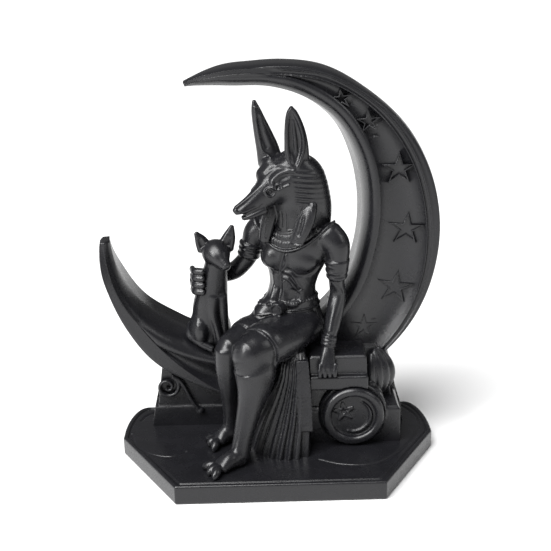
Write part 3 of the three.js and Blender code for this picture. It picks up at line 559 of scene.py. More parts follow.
def wheel(clay):
    clay.add(disc(WHEEL_X, WHEEL_Z, 12.9, -6.3, 2, edge=0.6))
    clay.cut(disc(WHEEL_X, WHEEL_Z, 12.0, -8.0, -5.7))
    clay.add(disc(WHEEL_X, WHEEL_Z, 11.6, -9.4, -4, edge=0.8), blend=0.3)
    clay.cut(disc(WHEEL_X, WHEEL_Z, 8.4, -12, -7.4, edge=0.2), blend=0.4)
    clay.cut(disc(WHEEL_X, WHEEL_Z, 8.9, -12, -9.0, edge=0.2), blend=0.4)
    star = star_corners(WHEEL_X - 3.6, WHEEL_Z + 1.8, 3.6, 8)
    for k in range(10):
        ends = [(px, -7.5, pz) for px, pz in (star[k], star[(k + 1) % 10])]
        clay.add(stroke(ends, 0.42, 1.5, (0, 1, 0), 2))
    arc = []
    for k in range(13):
        t = k / 12
        a = math.radians(62 - 172 * t)
        fat = math.sin(math.pi * t)
        r = 6.5
        arc.append((WHEEL_X + r * math.cos(a), -7.4, WHEEL_Z + r * math.sin(a), 0.25 + 0.6 * fat, 0.8))
    clay.add(limb(arc, (1, 0, 0.2), 0.7, 12, 3), blend=0.2)


def scroll(clay):
    rows = []
    eye = (-42.6, 24.7)
    turns = 1.55
    steps = 40
    for k in range(steps + 1):
        t = k / steps
        a = math.radians(70) - 2 * math.pi * turns * (1 - t)
        r = 0.9 + 3.9 * t
        rows.append((eye[0] + r * math.cos(a), 11.4 - 1.2 * (1 - 0.3 * t), eye[1] + r * math.sin(a),
                     1.0, 0.55 + 0.35 * t))
    rows += [(-38.6, 10.7, 28.0, 1.0, 0.9), (-36.2, 10.7, 24.6, 1.0, 0.9), (-34.4, 10.7, 20.6, 1.0, 0.8),
             (-32.6, 10.7, 17.2, 1.0, 0.7), (-31.0, 10.7, 15.0, 1.0, 0.7)]
    clay.add(limb(rows, (0, 1, 0), 0.6, 16, 2), blend=0.4)
    clay.add(ball(-30.2, 10.9, 13.9, 1.5, 1.4, 1.4), blend=0.4)


def volute(clay):
    flutes = [(35.6, -0.4, 1.9, 8.8), (38.5, 0.6, 2.1, 9.6), (41.0, 2.0, 2.1, 9.6), (43.0, 4.4, 2.4, 9.2)]
    clay.add(box([(20, 33, 44, 5, 20), (32, 33, 43, 4, 20), (42, 30, 37, 5, 20)]))
    for x, y, r, half in flutes:
        rows = []
        for k in range(9):
            t = -1 + 2 * k / 8
            bow = 1 - t * t
            lean = (x - 36) * 0.55
            rows.append((x - lean * (1 - bow) * 1.1, y + 2.2 * t * t, 31.6 + half * t,
                         r * (0.45 + 0.55 * bow), r * (0.5 + 0.5 * bow)))
        clay.add(limb(rows), blend=0.15)


# Seated figure

# The chest faces left and forward: away from the body's middle, and across it.
CHEST_AHEAD = (-0.545, -0.839, 0.0)


def torso(clay):
    clay.add(stack([(44, 7.5, 14, 10.5, 8), (50, 7.4, 13.6, 12, 9), (57, 6.4, 12.8, 11.2, 8.6),
                    (61.4, 6.2, 11.8, 10.2, 7.6), (66, 6.5, 11.4, 9.3, 6.9), (70, 6.9, 11.3, 9.9, 7.2),
                    (75, 7.3, 11.2, 12, 8), (80, 7.4, 11, 14.2, 8.3), (85, 7.2, 10.8, 15.4, 7.8),
                    (89, 7.4, 10.6, 12.8, 6.8), (92.4, 7.8, 10.4, 8.4, 6)], BODY_TURN))
    clay.add(limb([(2.4, 9.6, 62.6, 4.6, 4.6), (-0.2, 9, 58.6, 5, 5.2), (-3.6, 8.2, 54.2, 5.4, 5.8),
                   (-6.6, 7.4, 50, 5.4, 5.8)], LAP_SIDE), blend=2.0)
    clay.add(ball(9.4, 4.6, 77.8, 6.8, 3.6, 5.2, BODY_TURN), ball(-0.9, 9.6, 77.6, 5.0, 3.4, 4.8,
                                                                  BODY_TURN),
             blend=0.9)
    muscles(clay)


def muscles(clay):
    """Breast bone, rib arch and belly of the bare chest."""
    clay.draw([(2.6, 3.6, 80.6), (2.0, 4.8, 77.4), (1.2, 5.4, 73.6), (1.6, 6.0, 67), (1.8, 6.4, 61.6)],
              1.1, -0.75, CHEST_AHEAD)
    clay.draw([(3.6, 2.8, 80), (3.9, 3.4, 76.6), (2.8, 4.4, 74.2), (1.4, 5.2, 72.8)], 0.9, 0.45,
              CHEST_AHEAD)
    clay.draw([(-5.4, 9.4, 78.4), (-4.4, 8.6, 74.6), (-1.6, 6.8, 72.8), (0.4, 5.6, 72.6)], 1.0, -0.5,
              CHEST_AHEAD)
    clay.draw([(4.6, 3.2, 74.4), (9.0, 3.2, 72.2), (13.2, 3.2, 73.4), (15.2, 2.6, 76)], 1.2, -0.5,
              CHEST_AHEAD)
    clay.draw([(3.4, 3.6, 73.4), (5.7, 3.1, 72.9), (7.6, 3.4, 70.2), (9.2, 3.8, 67.6)], 0.9, 0.65,
              CHEST_AHEAD)
    clay.draw([(3.0, 4.6, 72.0), (5.2, 3.6, 71.3), (7.2, 3.7, 68.8), (9.0, 4.0, 66.6)], 0.5, -0.5,
              CHEST_AHEAD)
    clay.draw([(2.9, 4.8, 70.9), (4.6, 4.0, 70.2), (6.8, 3.8, 67.8), (8.8, 4.0, 65.8)], 0.8, 0.5,
              CHEST_AHEAD)
    clay.draw([(3.4, 5.6, 69), (3.7, 5.7, 64.9), (4.1, 4.9, 62.0), (5.7, 3.9, 60.4), (8.6, 3.3, 61.4),
               (9.9, 3.6, 63.4), (9.6, 3.8, 66)], 1.2, 0.6, CHEST_AHEAD)
    clay.draw([(6.9, 4.4, 65.6), (6.6, 4.4, 62.8)], 1.7, -0.8, CHEST_AHEAD)
    clay.draw([(-0.9, 7.8, 70.4), (-0.5, 7.8, 67.6)], 2.0, 0.5, CHEST_AHEAD)
    clay.draw([(-0.7, 7.8, 65.8), (-0.5, 7.6, 63.2)], 1.8, 0.5, CHEST_AHEAD)
    clay.draw([(11.6, 4.6, 71), (12.8, 5.2, 66.6), (13.4, 6, 62.6)], 1.4, -0.35, CHEST_AHEAD)


def turned(x, y):
    """Across and back from the middle of the body, for points of the plan."""
    c = math.cos(math.radians(BODY_TURN))
    s = math.sin(math.radians(BODY_TURN))
    dx = x - 7.2
    dy = y - 10.8
    return dx * c + dy * s, dy * c - dx * s


def hump(value, low, high):
    """A rounded hump from 0 at low through 1 in the middle to 0 at high."""
    middle = (low + high) / 2
    half = (high - low) / 2
    return np.clip(1 - ((value - middle) / half) ** 2, 0, 1)


def ramp(value, low, high):
    t = np.clip((value - low) / (high - low), 0, 1)
    return t * t * (3 - 2 * t)


def collar(clay):
    """A broad collar lying on chest and shoulders: a rolled edge, then rows of ribs."""
    def height(x, y, z):
        across, back = turned(x, y)
        edge = 80.9 + 0.039 * across**2 + 2.2 * ramp(back, 0, 6)
        up = (z - edge) / np.sqrt(1 + (0.078 * across) ** 2)
        angle = np.arctan2(across, -back)
        ribs = 0.5 + 0.5 * np.cos(angle * 46)
        rows = 0.42 * ramp(up, 0.2, 0.5) + 0.55 * hump(up, 0.1, 1.5) - 0.25 * hump(up, 1.5, 2.1)
        rows = rows + 0.28 * ribs * hump(up, 2.1, 4.1) - 0.2 * hump(up, 4.1, 4.7)
        return rows + 0.28 * ribs * hump(up, 4.7, 6.5) + 0.3 * hump(up, 6.9, 7.9)
    clay.relief((-14, -6, 78), (28, 26, 95), height)


def belt(clay):
    def height(x, y, z):
        across, back = turned(x, y)
        up = z - 59.2 - 0.11 * (x - 0.7)
        inside = ramp(14.5 - np.abs(across), 0, 1.5)
        along = np.arctan2(across, -back) * 9.0
        beads = 0.5 + 0.5 * np.cos(2 * math.pi * along / 1.25)
        rows = 0.4 * ramp(up, -2.0, -1.6) * ramp(-up, -2.3, -1.9)
        rows = rows + 0.5 * beads * hump(up, 1.3, 2.5) + 0.3 * hump(up, -2.0, -1.1)
        return rows * inside
    clay.relief((-8, -2, 56), (20, 22, 65), height)
    buckle = (0.6, 2.2, 59.4)
    ahead = np.array(CHEST_AHEAD)
    plate = [tuple(np.array(buckle) + ahead * k) + (2.5, 2.5) for k in (-3.0, 0.5, 1.0)]
    clay.add(limb(plate, (0.839, -0.545, 0), dome=0.1), blend=0.2)
    ring = []
    for k in range(17):
        a = 2 * math.pi * k / 16
        ring.append(tuple(np.array(buckle) + ahead * 1.3 + np.array((0.839, -0.545, 0)) * 2.1 * math.cos(a)
                          + np.array((0, 0, 2.1)) * math.sin(a)))
    clay.add(stroke(ring, 0.42, 1.0, (0.839, -0.545, 0), 2))


def arms(clay):
    clay.add(limb([(19.4, 3.6, 87.6, 5.4, 5.2), (22.2, 2.4, 84.4, 5.0, 5.2), (22.9, 2.2, 79.4, 4.0, 4.6),
                   (22.4, 2.6, 73.4, 3.4, 4.0), (22.6, 3.4, 68.6, 2.9, 3.5), (23.0, 3.6, 65.2, 3.1, 3.4),
                   (22.2, 2.2, 60.4, 3.3, 3.3), (20.7, -0.6, 53.6, 2.8, 2.8), (19.1, -3.6, 47.6, 2.2, 2.1),
                   (18.6, -6.0, 43.6, 2.8, 1.8), (18.2, -7.8, 39.6, 3.2, 1.4)]), blend=1.2)
    clay.add(limb([(22.4, 2.6, 72.2, 3.7, 4.3), (22.6, 2.4, 75, 4.1, 4.7), (22.8, 2.2, 78.4, 4.3, 5.0)],
                  dome=0.1), blend=0.15)
    for z, r in ((72.4, 4.0), (74.6, 4.3), (77.0, 4.5), (78.4, 4.7)):
        clay.add(limb([(22.5, 2.45, z - 0.28, r, r + 0.55), (22.5, 2.4, z + 0.28, r, r + 0.55)], dome=0.3),
                 blend=0.1)
    clay.add(limb([(19.1, -3.5, 47.4, 2.7, 2.6), (19.5, -2.6, 49.8, 2.9, 2.8)], dome=0.1), blend=0.15)
    for t in (0.0, 0.5, 1.0):
        clay.add(limb([(19.0 + 0.4 * t, -3.7 + 0.9 * t, 47.2 + 2.4 * t, 2.95, 2.85),
                       (19.1 + 0.4 * t, -3.6 + 0.9 * t, 47.6 + 2.4 * t, 2.95, 2.85)], dome=0.3), blend=0.1)
    clay.draw([(20.6, -0.8, 70.2), (23.4, 0.4, 66.4), (22.2, -0.6, 61.6), (20.6, -2.2, 57), (19.6, -3.6,
                                                                                             52.6)],
              1.3, 0.5, (0.6, -0.8, 0), 2.0)
    clay.add(limb([(-4.6, 18.4, 87.0, 5.0, 5.0), (-6.8, 18.8, 84.4, 4.8, 5.0), (-8.6, 18.6, 79.6, 3.8, 4.3),
                   (-10.0, 18.4, 75.2, 3.5, 3.7), (-12.2, 18.8, 72.2, 3.5, 3.5), (-16.0, 20.8, 68.4, 3.5,
                                                                                  3.5),
                   (-21.8, 22.4, 66.6, 3.0, 3.0), (-27.4, 21.6, 66.8, 2.4, 2.6), (-30.4, 18.0, 67.6, 1.8,
                                                                                  3.4),
                   (-30.9, 13.6, 68.0, 1.5, 4.0)], CHEST_SIDE), blend=1.2)
    clay.add(limb([(-9.7, 18.4, 76.0, 4.1, 4.5), (-8.7, 18.6, 79.8, 4.4, 4.8)], CHEST_SIDE, dome=0.1),
             blend=0.15)
    for x, z, r in ((-9.8, 76.0, 4.35), (-9.2, 78.0, 4.5), (-8.7, 79.8, 4.7)):
        clay.add(limb([(x - 0.08, 18.5, z - 0.28, r, r + 0.35), (x + 0.08, 18.5, z + 0.28, r, r + 0.35)],
                      CHEST_SIDE, dome=0.3), blend=0.1)


def fingers(clay):
    for k in range(4):
        x = 15.6 + 1.85 * k
        clay.add(limb([(x + 0.3, -7.6, 40.8, 1.0, 1.1), (x, -8.6, 38.4, 0.95, 1.0),
                       (x - 0.1, -8.9, 36.6, 0.8, 0.85)], sides=14), blend=0.3)
    for k in range(4):
        z = 64.0 + 2.7 * k
        clay.add(limb([(-31.2, 13.6, z, 1.4, 1.2), (-30.2, 10.2, z + 0.2, 1.4, 1.15),
                       (-27.0, 8.2, z + 0.5, 1.25, 1.0)], (0, 0, 1), sides=14), blend=0.3)


def legs(clay):
    clay.add(limb([(-3, -5.8, 49.4, 7.8, 6.8), (-8.6, -11.4, 49.2, 7.2, 6.8), (-11.2, -14, 48.6, 6, 6)],
                  LAP_SIDE))
    clay.add(limb([(-8, 6, 48, 7, 6.4), (-13.4, 0, 48, 6.4, 6.2), (-18, -5.4, 47, 5, 5.2)], LAP_SIDE))
    clay.add(limb([(-11.2, -13, 48.8, 5.8, 5.8), (-8.4, -11.6, 42.6, 7.8, 8.2), (-8.6, -12.4, 36.6, 6.8,
                                                                                 7.2),
                   (-10, -14.4, 29.6, 5, 5.4), (-12, -16.6, 22, 4, 4.3), (-13.6, -18.6, 15.4, 3.5, 3.9),
                   (-14.4, -19.6, 11.6, 3.6, 4.2)], SHIN_SIDE), blend=1.5)
    clay.add(limb([(-18.4, -5.4, 46.8, 4.6, 5), (-18.6, -5, 40, 4.4, 4.8), (-18.2, -4, 32, 3.8, 4.2),
                   (-17.8, -2.8, 24, 3.2, 3.6), (-17.9, -1.8, 16, 3, 3.4), (-18.2, -1.6, 11.4, 3.1, 3.6)],
                  SHIN_SIDE), blend=0.8)


def foot(clay, heel, tips):
    """A long paw-like foot with three clawed toes, from heel to toe tips."""
    centre = [(tips[0][k] + tips[2][k]) / 2 for k in (0, 1)]
    sole = [heel[k] + (centre[k] - heel[k]) * 0.62 for k in (0, 1)]
    low = PLINTH_HEIGHT
    side = (tips[2][0] - tips[0][0], tips[2][1] - tips[0][1], 0)
    clay.add(limb([(heel[0], heel[1], low + 2.6, 2.9, 3.2),
                   ((heel[0] + sole[0]) / 2, (heel[1] + sole[1]) / 2, low + 3.2, 3.1, 3.4),
                   (sole[0], sole[1], low + 2.0, 3.7, 2.4)], side), blend=1.2)
    for tip in tips:
        start = [(sole[k] * 1.6 + tip[k]) / 2.6 for k in (0, 1)]
        clay.add(limb([(start[0], start[1], low + 2.2, 1.6, 1.8),
                       ((start[0] + tip[0]) / 2, (start[1] + tip[1]) / 2, low + 2.0, 1.7, 1.7),
                       (tip[0] * 0.9 + start[0] * 0.1, tip[1] * 0.9 + start[1] * 0.1, low + 1.0, 1.0, 1.1),
                       (tip[0], tip[1], low + 0.4, 0.5, 0.6)], side, sides=16), blend=0.4)


def kilt(clay):
    clay.add(limb([(8, 10, 51, 11.6, 8), (2.4, 1.4, 50, 10.8, 7.4), (-2.6, -5.6, 49.8, 9.6, 8),
                   (-5.4, -9.2, 49.6, 9, 8.3), (-6.2, -10.2, 49.4, 8.6, 7.9)], LAP_SIDE, dome=0), blend=0.8)
    clay.add(limb([(3, 16, 47, 9, 7.4), (-5.4, 8.6, 47.9, 8.2, 7.2), (-11.6, 1.8, 48.6, 7.2, 6.9),
                   (-12.6, 0.8, 48.4, 6.8, 6.5)], LAP_SIDE, dome=0), blend=0.8)


def drape(clay):
    rows = [
        (6.6, (-12.6, -4.6), (-1.5, -17.6), (12.2, -14.8), 1.5),
        (12, (-11, -4.4), (-0.4, -16.4), (12.2, -13.8), 1.4),
        (20, (-7.6, -4.2), (1.6, -14.4), (12.2, -12.2), 1.3),
        (28, (-3.0, -4.6), (3.4, -12.6), (12.0, -11.0), 1.2),
        (36, (0.4, -5.4), (4.8, -11.0), (11.6, -9.8), 1.0),
        (43.4, (2.0, -6.2), (5.6, -9.4), (10.8, -8.2), 0.6),
        (45.8, (3.4, -5.0), (6.4, -7.2), (10.0, -6.4), 0.2),
    ]
    folds = 8
    steps = folds * 12
    table = smooth_rows([(0, 0, z, *left, *mid, *right, wave) for z, left, mid, right, wave in rows], 5)
    rings = []
    for row in table:
        z = row[2]
        left, mid, right = row[3:5], row[5:7], row[7:9]
        wave = row[9]
        pull = mid * 2 - (left + right) / 2
        loop = []
        for k in range(steps + 1):
            t = k / steps
            p = left * (1 - t) ** 2 + pull * 2 * t * (1 - t) + right * t**2
            d = unit(2 * (1 - t) * (pull - left) + 2 * t * (right - pull))
            out = -math.cos(2 * math.pi * folds * t) * 0.5 * wave
            loop.append((p[0] + d[1] * out, p[1] - d[0] * out, z))
        loop.append((right[0], 2, z))
        loop.append((left[0] + 2, 2, z))
        rings.append(loop)
    clay.add(skin(rings))
    clay.add(box([(17.2, 7.2, 12.6, -15.2, -8), (30, 7.0, 12.2, -12.6, -8), (43.6, 6.6, 11.2, -10.4, -6)]))


# The face looks left and a little forward, so its near side faces the front.
FACE_SIDE = (0.4, -0.92, 0.0)


def head(clay):
    clay.add(limb([(9, 8, 108.4, 7.2, 7.8), (4, 6, 107.4, 7, 8.1), (-0.6, 4.2, 105.4, 5.6, 6.6),
                   (-3.6, 2.9, 103.1, 4.2, 5.2), (-6.8, 1.6, 101.0, 3.3, 4.1), (-10.2, 0.2, 99.3, 2.6, 2.8),
                   (-12.8, -0.9, 98.5, 2.1, 1.7), (-13.8, -1.3, 98.4, 1.6, 1.2)], HEAD_SIDE))
    clay.add(stack([(90, 9.4, 11, 11.6, 8.4), (94.4, 10, 10.4, 11.2, 9), (99, 10, 9.4, 11, 9.6),
                    (103.6, 9.6, 8.6, 10.6, 9.6), (108, 9.2, 7.8, 9.9, 9.2), (112.4, 8.6, 7.2, 8.6, 8.2),
                    (116, 7.2, 6.6, 6.2, 6.4), (118, 6, 6, 3, 3.4)], HEAD_TURN), blend=1.5)
    clay.add(limb([(8.4, 9, 96, 6, 6), (7.6, 9, 92, 6.4, 6), (7.4, 9, 87, 7, 6)]), blend=1.0)
    clay.add(ball(-2.6, 6.4, 109.6, 4.0, 4.2, 3.6, 0, 0), ball(-1.0, 7.4, 113.0, 3.6, 4.0, 3.4), blend=1.2)
    face(clay)
    lappets(clay)
    headcloth(clay)


def face(clay):
    """Muzzle, mouth, nose, brow and painted eye."""
    clay.add(limb([(1.4, 2.6, 110.6, 2.2, 1.2), (-2.2, 2.0, 108.6, 1.7, 1.1), (-5.4, 1.4, 106.0, 1.4, 1.0),
                   (-8.6, 0.5, 103.4, 1.2, 0.9), (-11.6, -0.6, 101.2, 1.0, 0.8),
                   (-13.9, -1.4, 99.7, 0.9, 0.7)], FACE_SIDE, power=4.0), blend=0.5)
    clay.add(ball(-14.1, -1.5, 98.9, 1.0, 1.3, 0.9, 20), blend=0.4)
    clay.cut(ball(-14.6, -2.5, 98.6, 0.35, 0.35, 0.3), ball(-14.9, -0.7, 98.6, 0.35, 0.35, 0.3), blend=0.2)
    clay.add(limb([(-4.4, 1.9, 98.4, 3.2, 2.2), (-7.2, 0.8, 97.2, 2.7, 1.7), (-9.8, -0.4, 96.3, 2.0, 1.2),
                   (-11.3, -1.0, 95.9, 1.5, 0.9)], FACE_SIDE), blend=0.5)
    clay.cut(limb([(-13.6, -1.4, 96.6, 3.4, 0.5), (-12.0, -0.8, 96.9, 3.4, 0.5), (-10.9, -0.4, 97.1, 3.2,
                                                                                  0.25)],
                  FACE_SIDE, dome=0.1), blend=0.2)
    clay.draw([(-12.6, -3, 97.2), (-10.3, -2.8, 97.6), (-8.1, -2.6, 98.5), (-6, -2.2, 99.3), (-4.2, -1.8,
                                                                                              100.6)],
              0.5, -0.5, FACE_SIDE)
    clay.draw([(-12.2, -3, 98.3), (-9.6, -2.7, 98.9), (-7, -2.3, 99.9)], 0.7, 0.2, FACE_SIDE)
    # Brow and cheek plane: an arc from under the ear to the inner corner of the eye.
    clay.draw([(6.2, 0, 112.6), (3.6, 0, 112.4), (0.6, -0.4, 110.9), (-0.9, -1.0, 108.9), (-0.5, -1.5,
                                                                                           107.4)],
              1.1, 0.75, FACE_SIDE)
    clay.draw([(4.4, -0.6, 110.6), (2.4, -0.8, 109.6), (1.0, -1.2, 107.6)], 1.4, -0.4, FACE_SIDE)
    clay.draw([(-3.4, 1.0, 112.0), (-1.2, 2.2, 113.6), (1.4, 2.2, 114.6), (4.4, 0.6, 113.6)], 1.3, 0.5,
              FACE_SIDE)
    # The eye: a socket, the ball, lids, an outer corner and the painted tail.
    clay.draw([(-1.9, -1.6, 105.2), (-0.3, -1.8, 105.3)], 2.2, -0.7, FACE_SIDE)
    clay.draw([(-3.3, -1.4, 105.3), (-2.3, -1.3, 106.5), (-0.9, -1.6, 106.8), (0.4, -2.0, 106.1), (0.3,
        -1.7, 104.6),
               (-1, -1.4, 103.7), (-2.4, -1.3, 104.0), (-3.3, -1.4, 105.3)], 0.62, 0.75, FACE_SIDE)
    clay.draw([(-1.3, -1.6, 105.3), (-1.0, -1.6, 105.2)], 0.8, 0.6, FACE_SIDE)
    clay.draw([(0.6, -2.1, 106.2), (0.6, -1.6, 107.6), (1.6, -1.4, 108.0), (2.4, -1.4, 107.0), (1.5,
        -1.7, 105.9),
               (0.6, -2.1, 106.2)], 0.5, 0.65, FACE_SIDE)
    clay.draw([(2.2, -1.6, 106.6), (3.5, -1.3, 107.1), (5.0, -1.2, 107.7)], 0.5, 0.6, FACE_SIDE)
    far_eye = [(-8.4, 3.4, 103.8), (-6.4, 4.9, 105.4), (-4.2, 6.8, 106.3)]
    clay.draw(far_eye, 0.9, -0.4, (-0.7, 0.7, 0.2))
    clay.draw([(x, y, z + 1.3) for x, y, z in far_eye], 0.7, 0.5, (-0.7, 0.7, 0.2))


def lappets(clay):
    """The two ends of the head cloth that hang in front of the shoulders."""
    near = [(12.6, 2.4, 102.6, 2.2, 1.4), (12.2, 0.9, 98.6, 3.1, 1.8), (10.9, 0, 94, 3.3, 1.8),
            (9.2, -0.4, 89.6, 2.9, 1.6), (7.8, -0.5, 86.4, 2.4, 1.3), (7.5, -0.5, 85.4, 2.3, 1.2)]
    clay.add(limb(near, CHEST_SIDE, dome=0.2, power=2.6), blend=0.3)
    clay.draw([(9.6, -0.6, 99.8), (7.9, 0.2, 95.2), (6.6, 0.4, 90.6), (5.4, 0.6, 86)], 0.6, 0.45,
              CHEST_AHEAD)
    clay.draw([(13.4, -1, 99.6), (14, -1.4, 96), (13, -2.2, 92.4), (9.8, -2.2, 86)], 0.5, 0.3, CHEST_AHEAD)
    clay.draw([(5.6, 0.2, 85.4), (9.4, -2.4, 85.6)], 0.6, 0.5, CHEST_AHEAD)
    clay.draw([(9.9, -1.6, 95.6), (9.2, -1.9, 92), (8.4, -2, 89.6)], 0.9, -0.4, CHEST_AHEAD)
    clay.add(limb([(-0.4, 8.6, 98.0, 2.6, 1.8), (-1.6, 8.0, 94.4, 2.9, 1.9), (-2.9, 7.7, 89.8, 2.7, 1.8),
                   (-4.0, 7.8, 84.6, 2.2, 1.5)], CHEST_SIDE, dome=0.3), blend=0.5)
    clay.draw([(-1.4, 6.2, 97), (-2.3, 5.8, 92.6), (-3.2, 6.0, 86.4)], 0.6, 0.5, CHEST_AHEAD)
    for x, low, high in ((4.9, 90.4, 97.6), (0.9, 88, 96.6), (2.9, 91, 95.6)):
        clay.draw([(x + 0.3, 3.6, high), (x, 3.4, (low + high) / 2), (x - 0.4, 3.6, low)], 0.55, 0.4,
                  CHEST_AHEAD)
    clay.draw([(4.2, 2.8, 89.6), (6.2, 2.4, 89.8)], 0.5, 0.5, CHEST_AHEAD)


def headcloth(clay):
    """Soft stripes of the head cloth, deepest beside the cheek and fading round the back."""
    def height(x, y, z):
        dx = x - 9.6
        dy = y - 8.6
        angle = np.degrees(np.arctan2(dx, -dy))
        near = ramp(angle, -22, -8) * (1 - 0.75 * ramp(angle, 12, 34))
        far = ramp(-angle, 84, 96)
        level = z + 0.12 * dx
        stripes = 0.5 - 0.5 * np.cos(2 * math.pi * (level - 100.5) / 1.85)
        span = ramp(z, 98, 101.5) * ramp(-z, -113.6, -111.4)
        return -0.34 * stripes * span * np.maximum(near, far * 0.6)
    clay.relief((-6, -4, 96), (24, 22, 116), height)


def ears(clay):
    side = (1, 0.15, 0)
    clay.add(limb([(8.3, 3.4, 112.5, 4.3, 3.0), (8.1, 2.7, 117.5, 4.45, 2.7), (7.8, 2.1, 122.5, 4.2, 2.3),
                   (7.2, 1.7, 127.5, 3.5, 1.9), (6.6, 1.4, 131.6, 2.4, 1.4), (6.3, 1.3, 133.6, 1.6, 1.0),
                   (6.2, 1.3, 134.6, 0.8, 0.7)], side, dome=0.9), blend=1.0)
    rim = [(6.2, 0.3, 114.0), (4.7, 0.2, 118.4), (4.3, 0.1, 123.5), (4.3, 0.1, 128), (4.7, 0.1, 132),
           (6.0, 0.2, 134.3), (7.6, 0.2, 132.8), (9.3, 0.2, 128.8), (10.4, 0.3, 123.8), (10.3, 0.4, 119.2),
           (8.3, 0.4, 114.0)]
    clay.cut(limb([(7.4, -0.7, 115.4, 1.1, 0.9), (7.4, -0.5, 119, 2.4, 1.9), (7.5, -0.4, 123.2, 2.75, 1.9),
                   (7.0, -0.3, 127.4, 2.2, 1.6), (6.5, -0.2, 131, 1.25, 1.1), (6.2, -0.1, 133, 0.5, 0.5)],
                  side), blend=0.25)
    clay.draw(rim, 0.75, 0.5)
    clay.add(limb([(7.7, 1.5, 117, 0.5, 0.5), (7.6, 1.5, 121, 0.7, 0.7), (7.2, 1.3, 126, 0.6, 0.6),
                   (6.8, 1.0, 130, 0.4, 0.4)], side), blend=0.5)
    clay.add(limb([(-1.2, 10.6, 113.6, 4.6, 3.4), (-2.0, 10.2, 118, 4.2, 2.8), (-3.5, 9.8, 123.4, 3.4, 2.3),
                   (-5.1, 9.6, 129, 2.4, 1.8), (-6.2, 9.4, 133.4, 1.5, 1.2), (-6.6, 9.4, 135.5, 0.8, 0.8)],
                  side, dome=0.9), blend=1.0)
    clay.draw([(-6.4, 8.2, 133.6), (-5.8, 8.0, 128), (-4.9, 7.6, 122), (-3.7, 7.2, 118), (-1.2, 6.8,
                                                                                          116.2)],
              0.6, 0.5)
    clay.draw([(-5.2, 7.8, 130), (-3.9, 7.8, 124), (-2.4, 7.6, 119.6)], 1.2, -0.5)


def pup(clay):
    clay.add(limb([(-25.6, 16, 44, 6.4, 6.4), (-25.2, 15, 52, 6.9, 6.2), (-24.8, 14, 58, 6.6, 5.8),
                   (-23.8, 13.2, 64, 5.8, 5.2), (-22.8, 12.6, 70, 4.9, 4.7), (-22, 12, 74.4, 4.4, 4.4)]))
    clay.add(ball(-29.6, 13, 47.8, 3.6, 5.8, 6.6, 20), ball(-20.6, 16, 47, 3.2, 5.6, 5.6, -10), blend=1.0)
    clay.add(limb([(-23.4, 9.8, 62, 2.3, 2.2), (-23.7, 9.4, 56, 1.9, 1.9), (-22.4, 9.6, 49.6, 1.5, 1.6),
                   (-21.2, 10.2, 42.6, 1.5, 1.8)]), blend=0.8)
    clay.add(limb([(-20.2, 10.6, 62, 2.1, 2.2), (-19.7, 10.8, 55, 1.7, 1.8), (-19.5, 11.4, 48, 1.5, 1.6),
                   (-19.6, 11.8, 42, 1.5, 1.6)]), blend=0.8)
    clay.add(limb([(-33.0, 17, 48.0, 1.4, 1.4), (-33.4, 13.4, 45.6, 1.4, 1.4), (-29.4, 10, 43.4, 1.4, 1.4),
                   (-24.6, 8.4, 41.2, 1.3, 1.3)], (0, 0, 1)), blend=0.6)
    clay.add(limb([(-22.4, 14, 79.0, 5.0, 4.6), (-21.8, 11.4, 79.0, 5.5, 5.0), (-20.6, 8.6, 78.2, 4.4, 4.2),
                   (-19.2, 6.2, 76.8, 2.7, 2.7), (-18.0, 4.6, 75.8, 1.8, 1.8)], (0.85, 0.5, 0)), blend=1.2)
    clay.add(limb([(-26.2, 13, 80.4, 3.0, 2.0), (-27.6, 12.8, 83.6, 2.3, 1.6), (-29.2, 12.6, 86.4, 0.9,
                                                                                0.8)],
                  (1, 0.2, 0.5)), blend=0.6)
    clay.cut(limb([(-26.9, 11.0, 81.6, 1.4, 0.8), (-28.0, 11.3, 84.4, 0.9, 0.5)], (1, 0.2, 0.5)), blend=0.2)
    clay.add(limb([(-18.4, 13, 80.6, 3.2, 2.0), (-17.0, 12.8, 84.6, 2.5, 1.7), (-15.8, 12.6, 88.8, 0.9,
                                                                                0.8)],
                  (1, 0, -0.3)), blend=0.6)
    clay.cut(limb([(-18.0, 11.0, 82, 1.5, 0.8), (-16.9, 11.3, 85.6, 0.9, 0.5)], (1, 0, -0.3)), blend=0.2)


# Material: black filament, printed in layers

FILAMENT_COLOUR = (0.008, 0.008, 0.0095)
FILAMENT_ROUGH = 0.26
FILAMENT_IOR = 1.46
LAYER_HEIGHT = 0.0002
LAYER_DEPTH = 0.00002
LAYER_STRENGTH = 0.5


def shader(material, kind, **inputs):
    node = material.node_tree.nodes.new(kind)
    for key, value in inputs.items():
        node.inputs[key].default_value = value
    return node


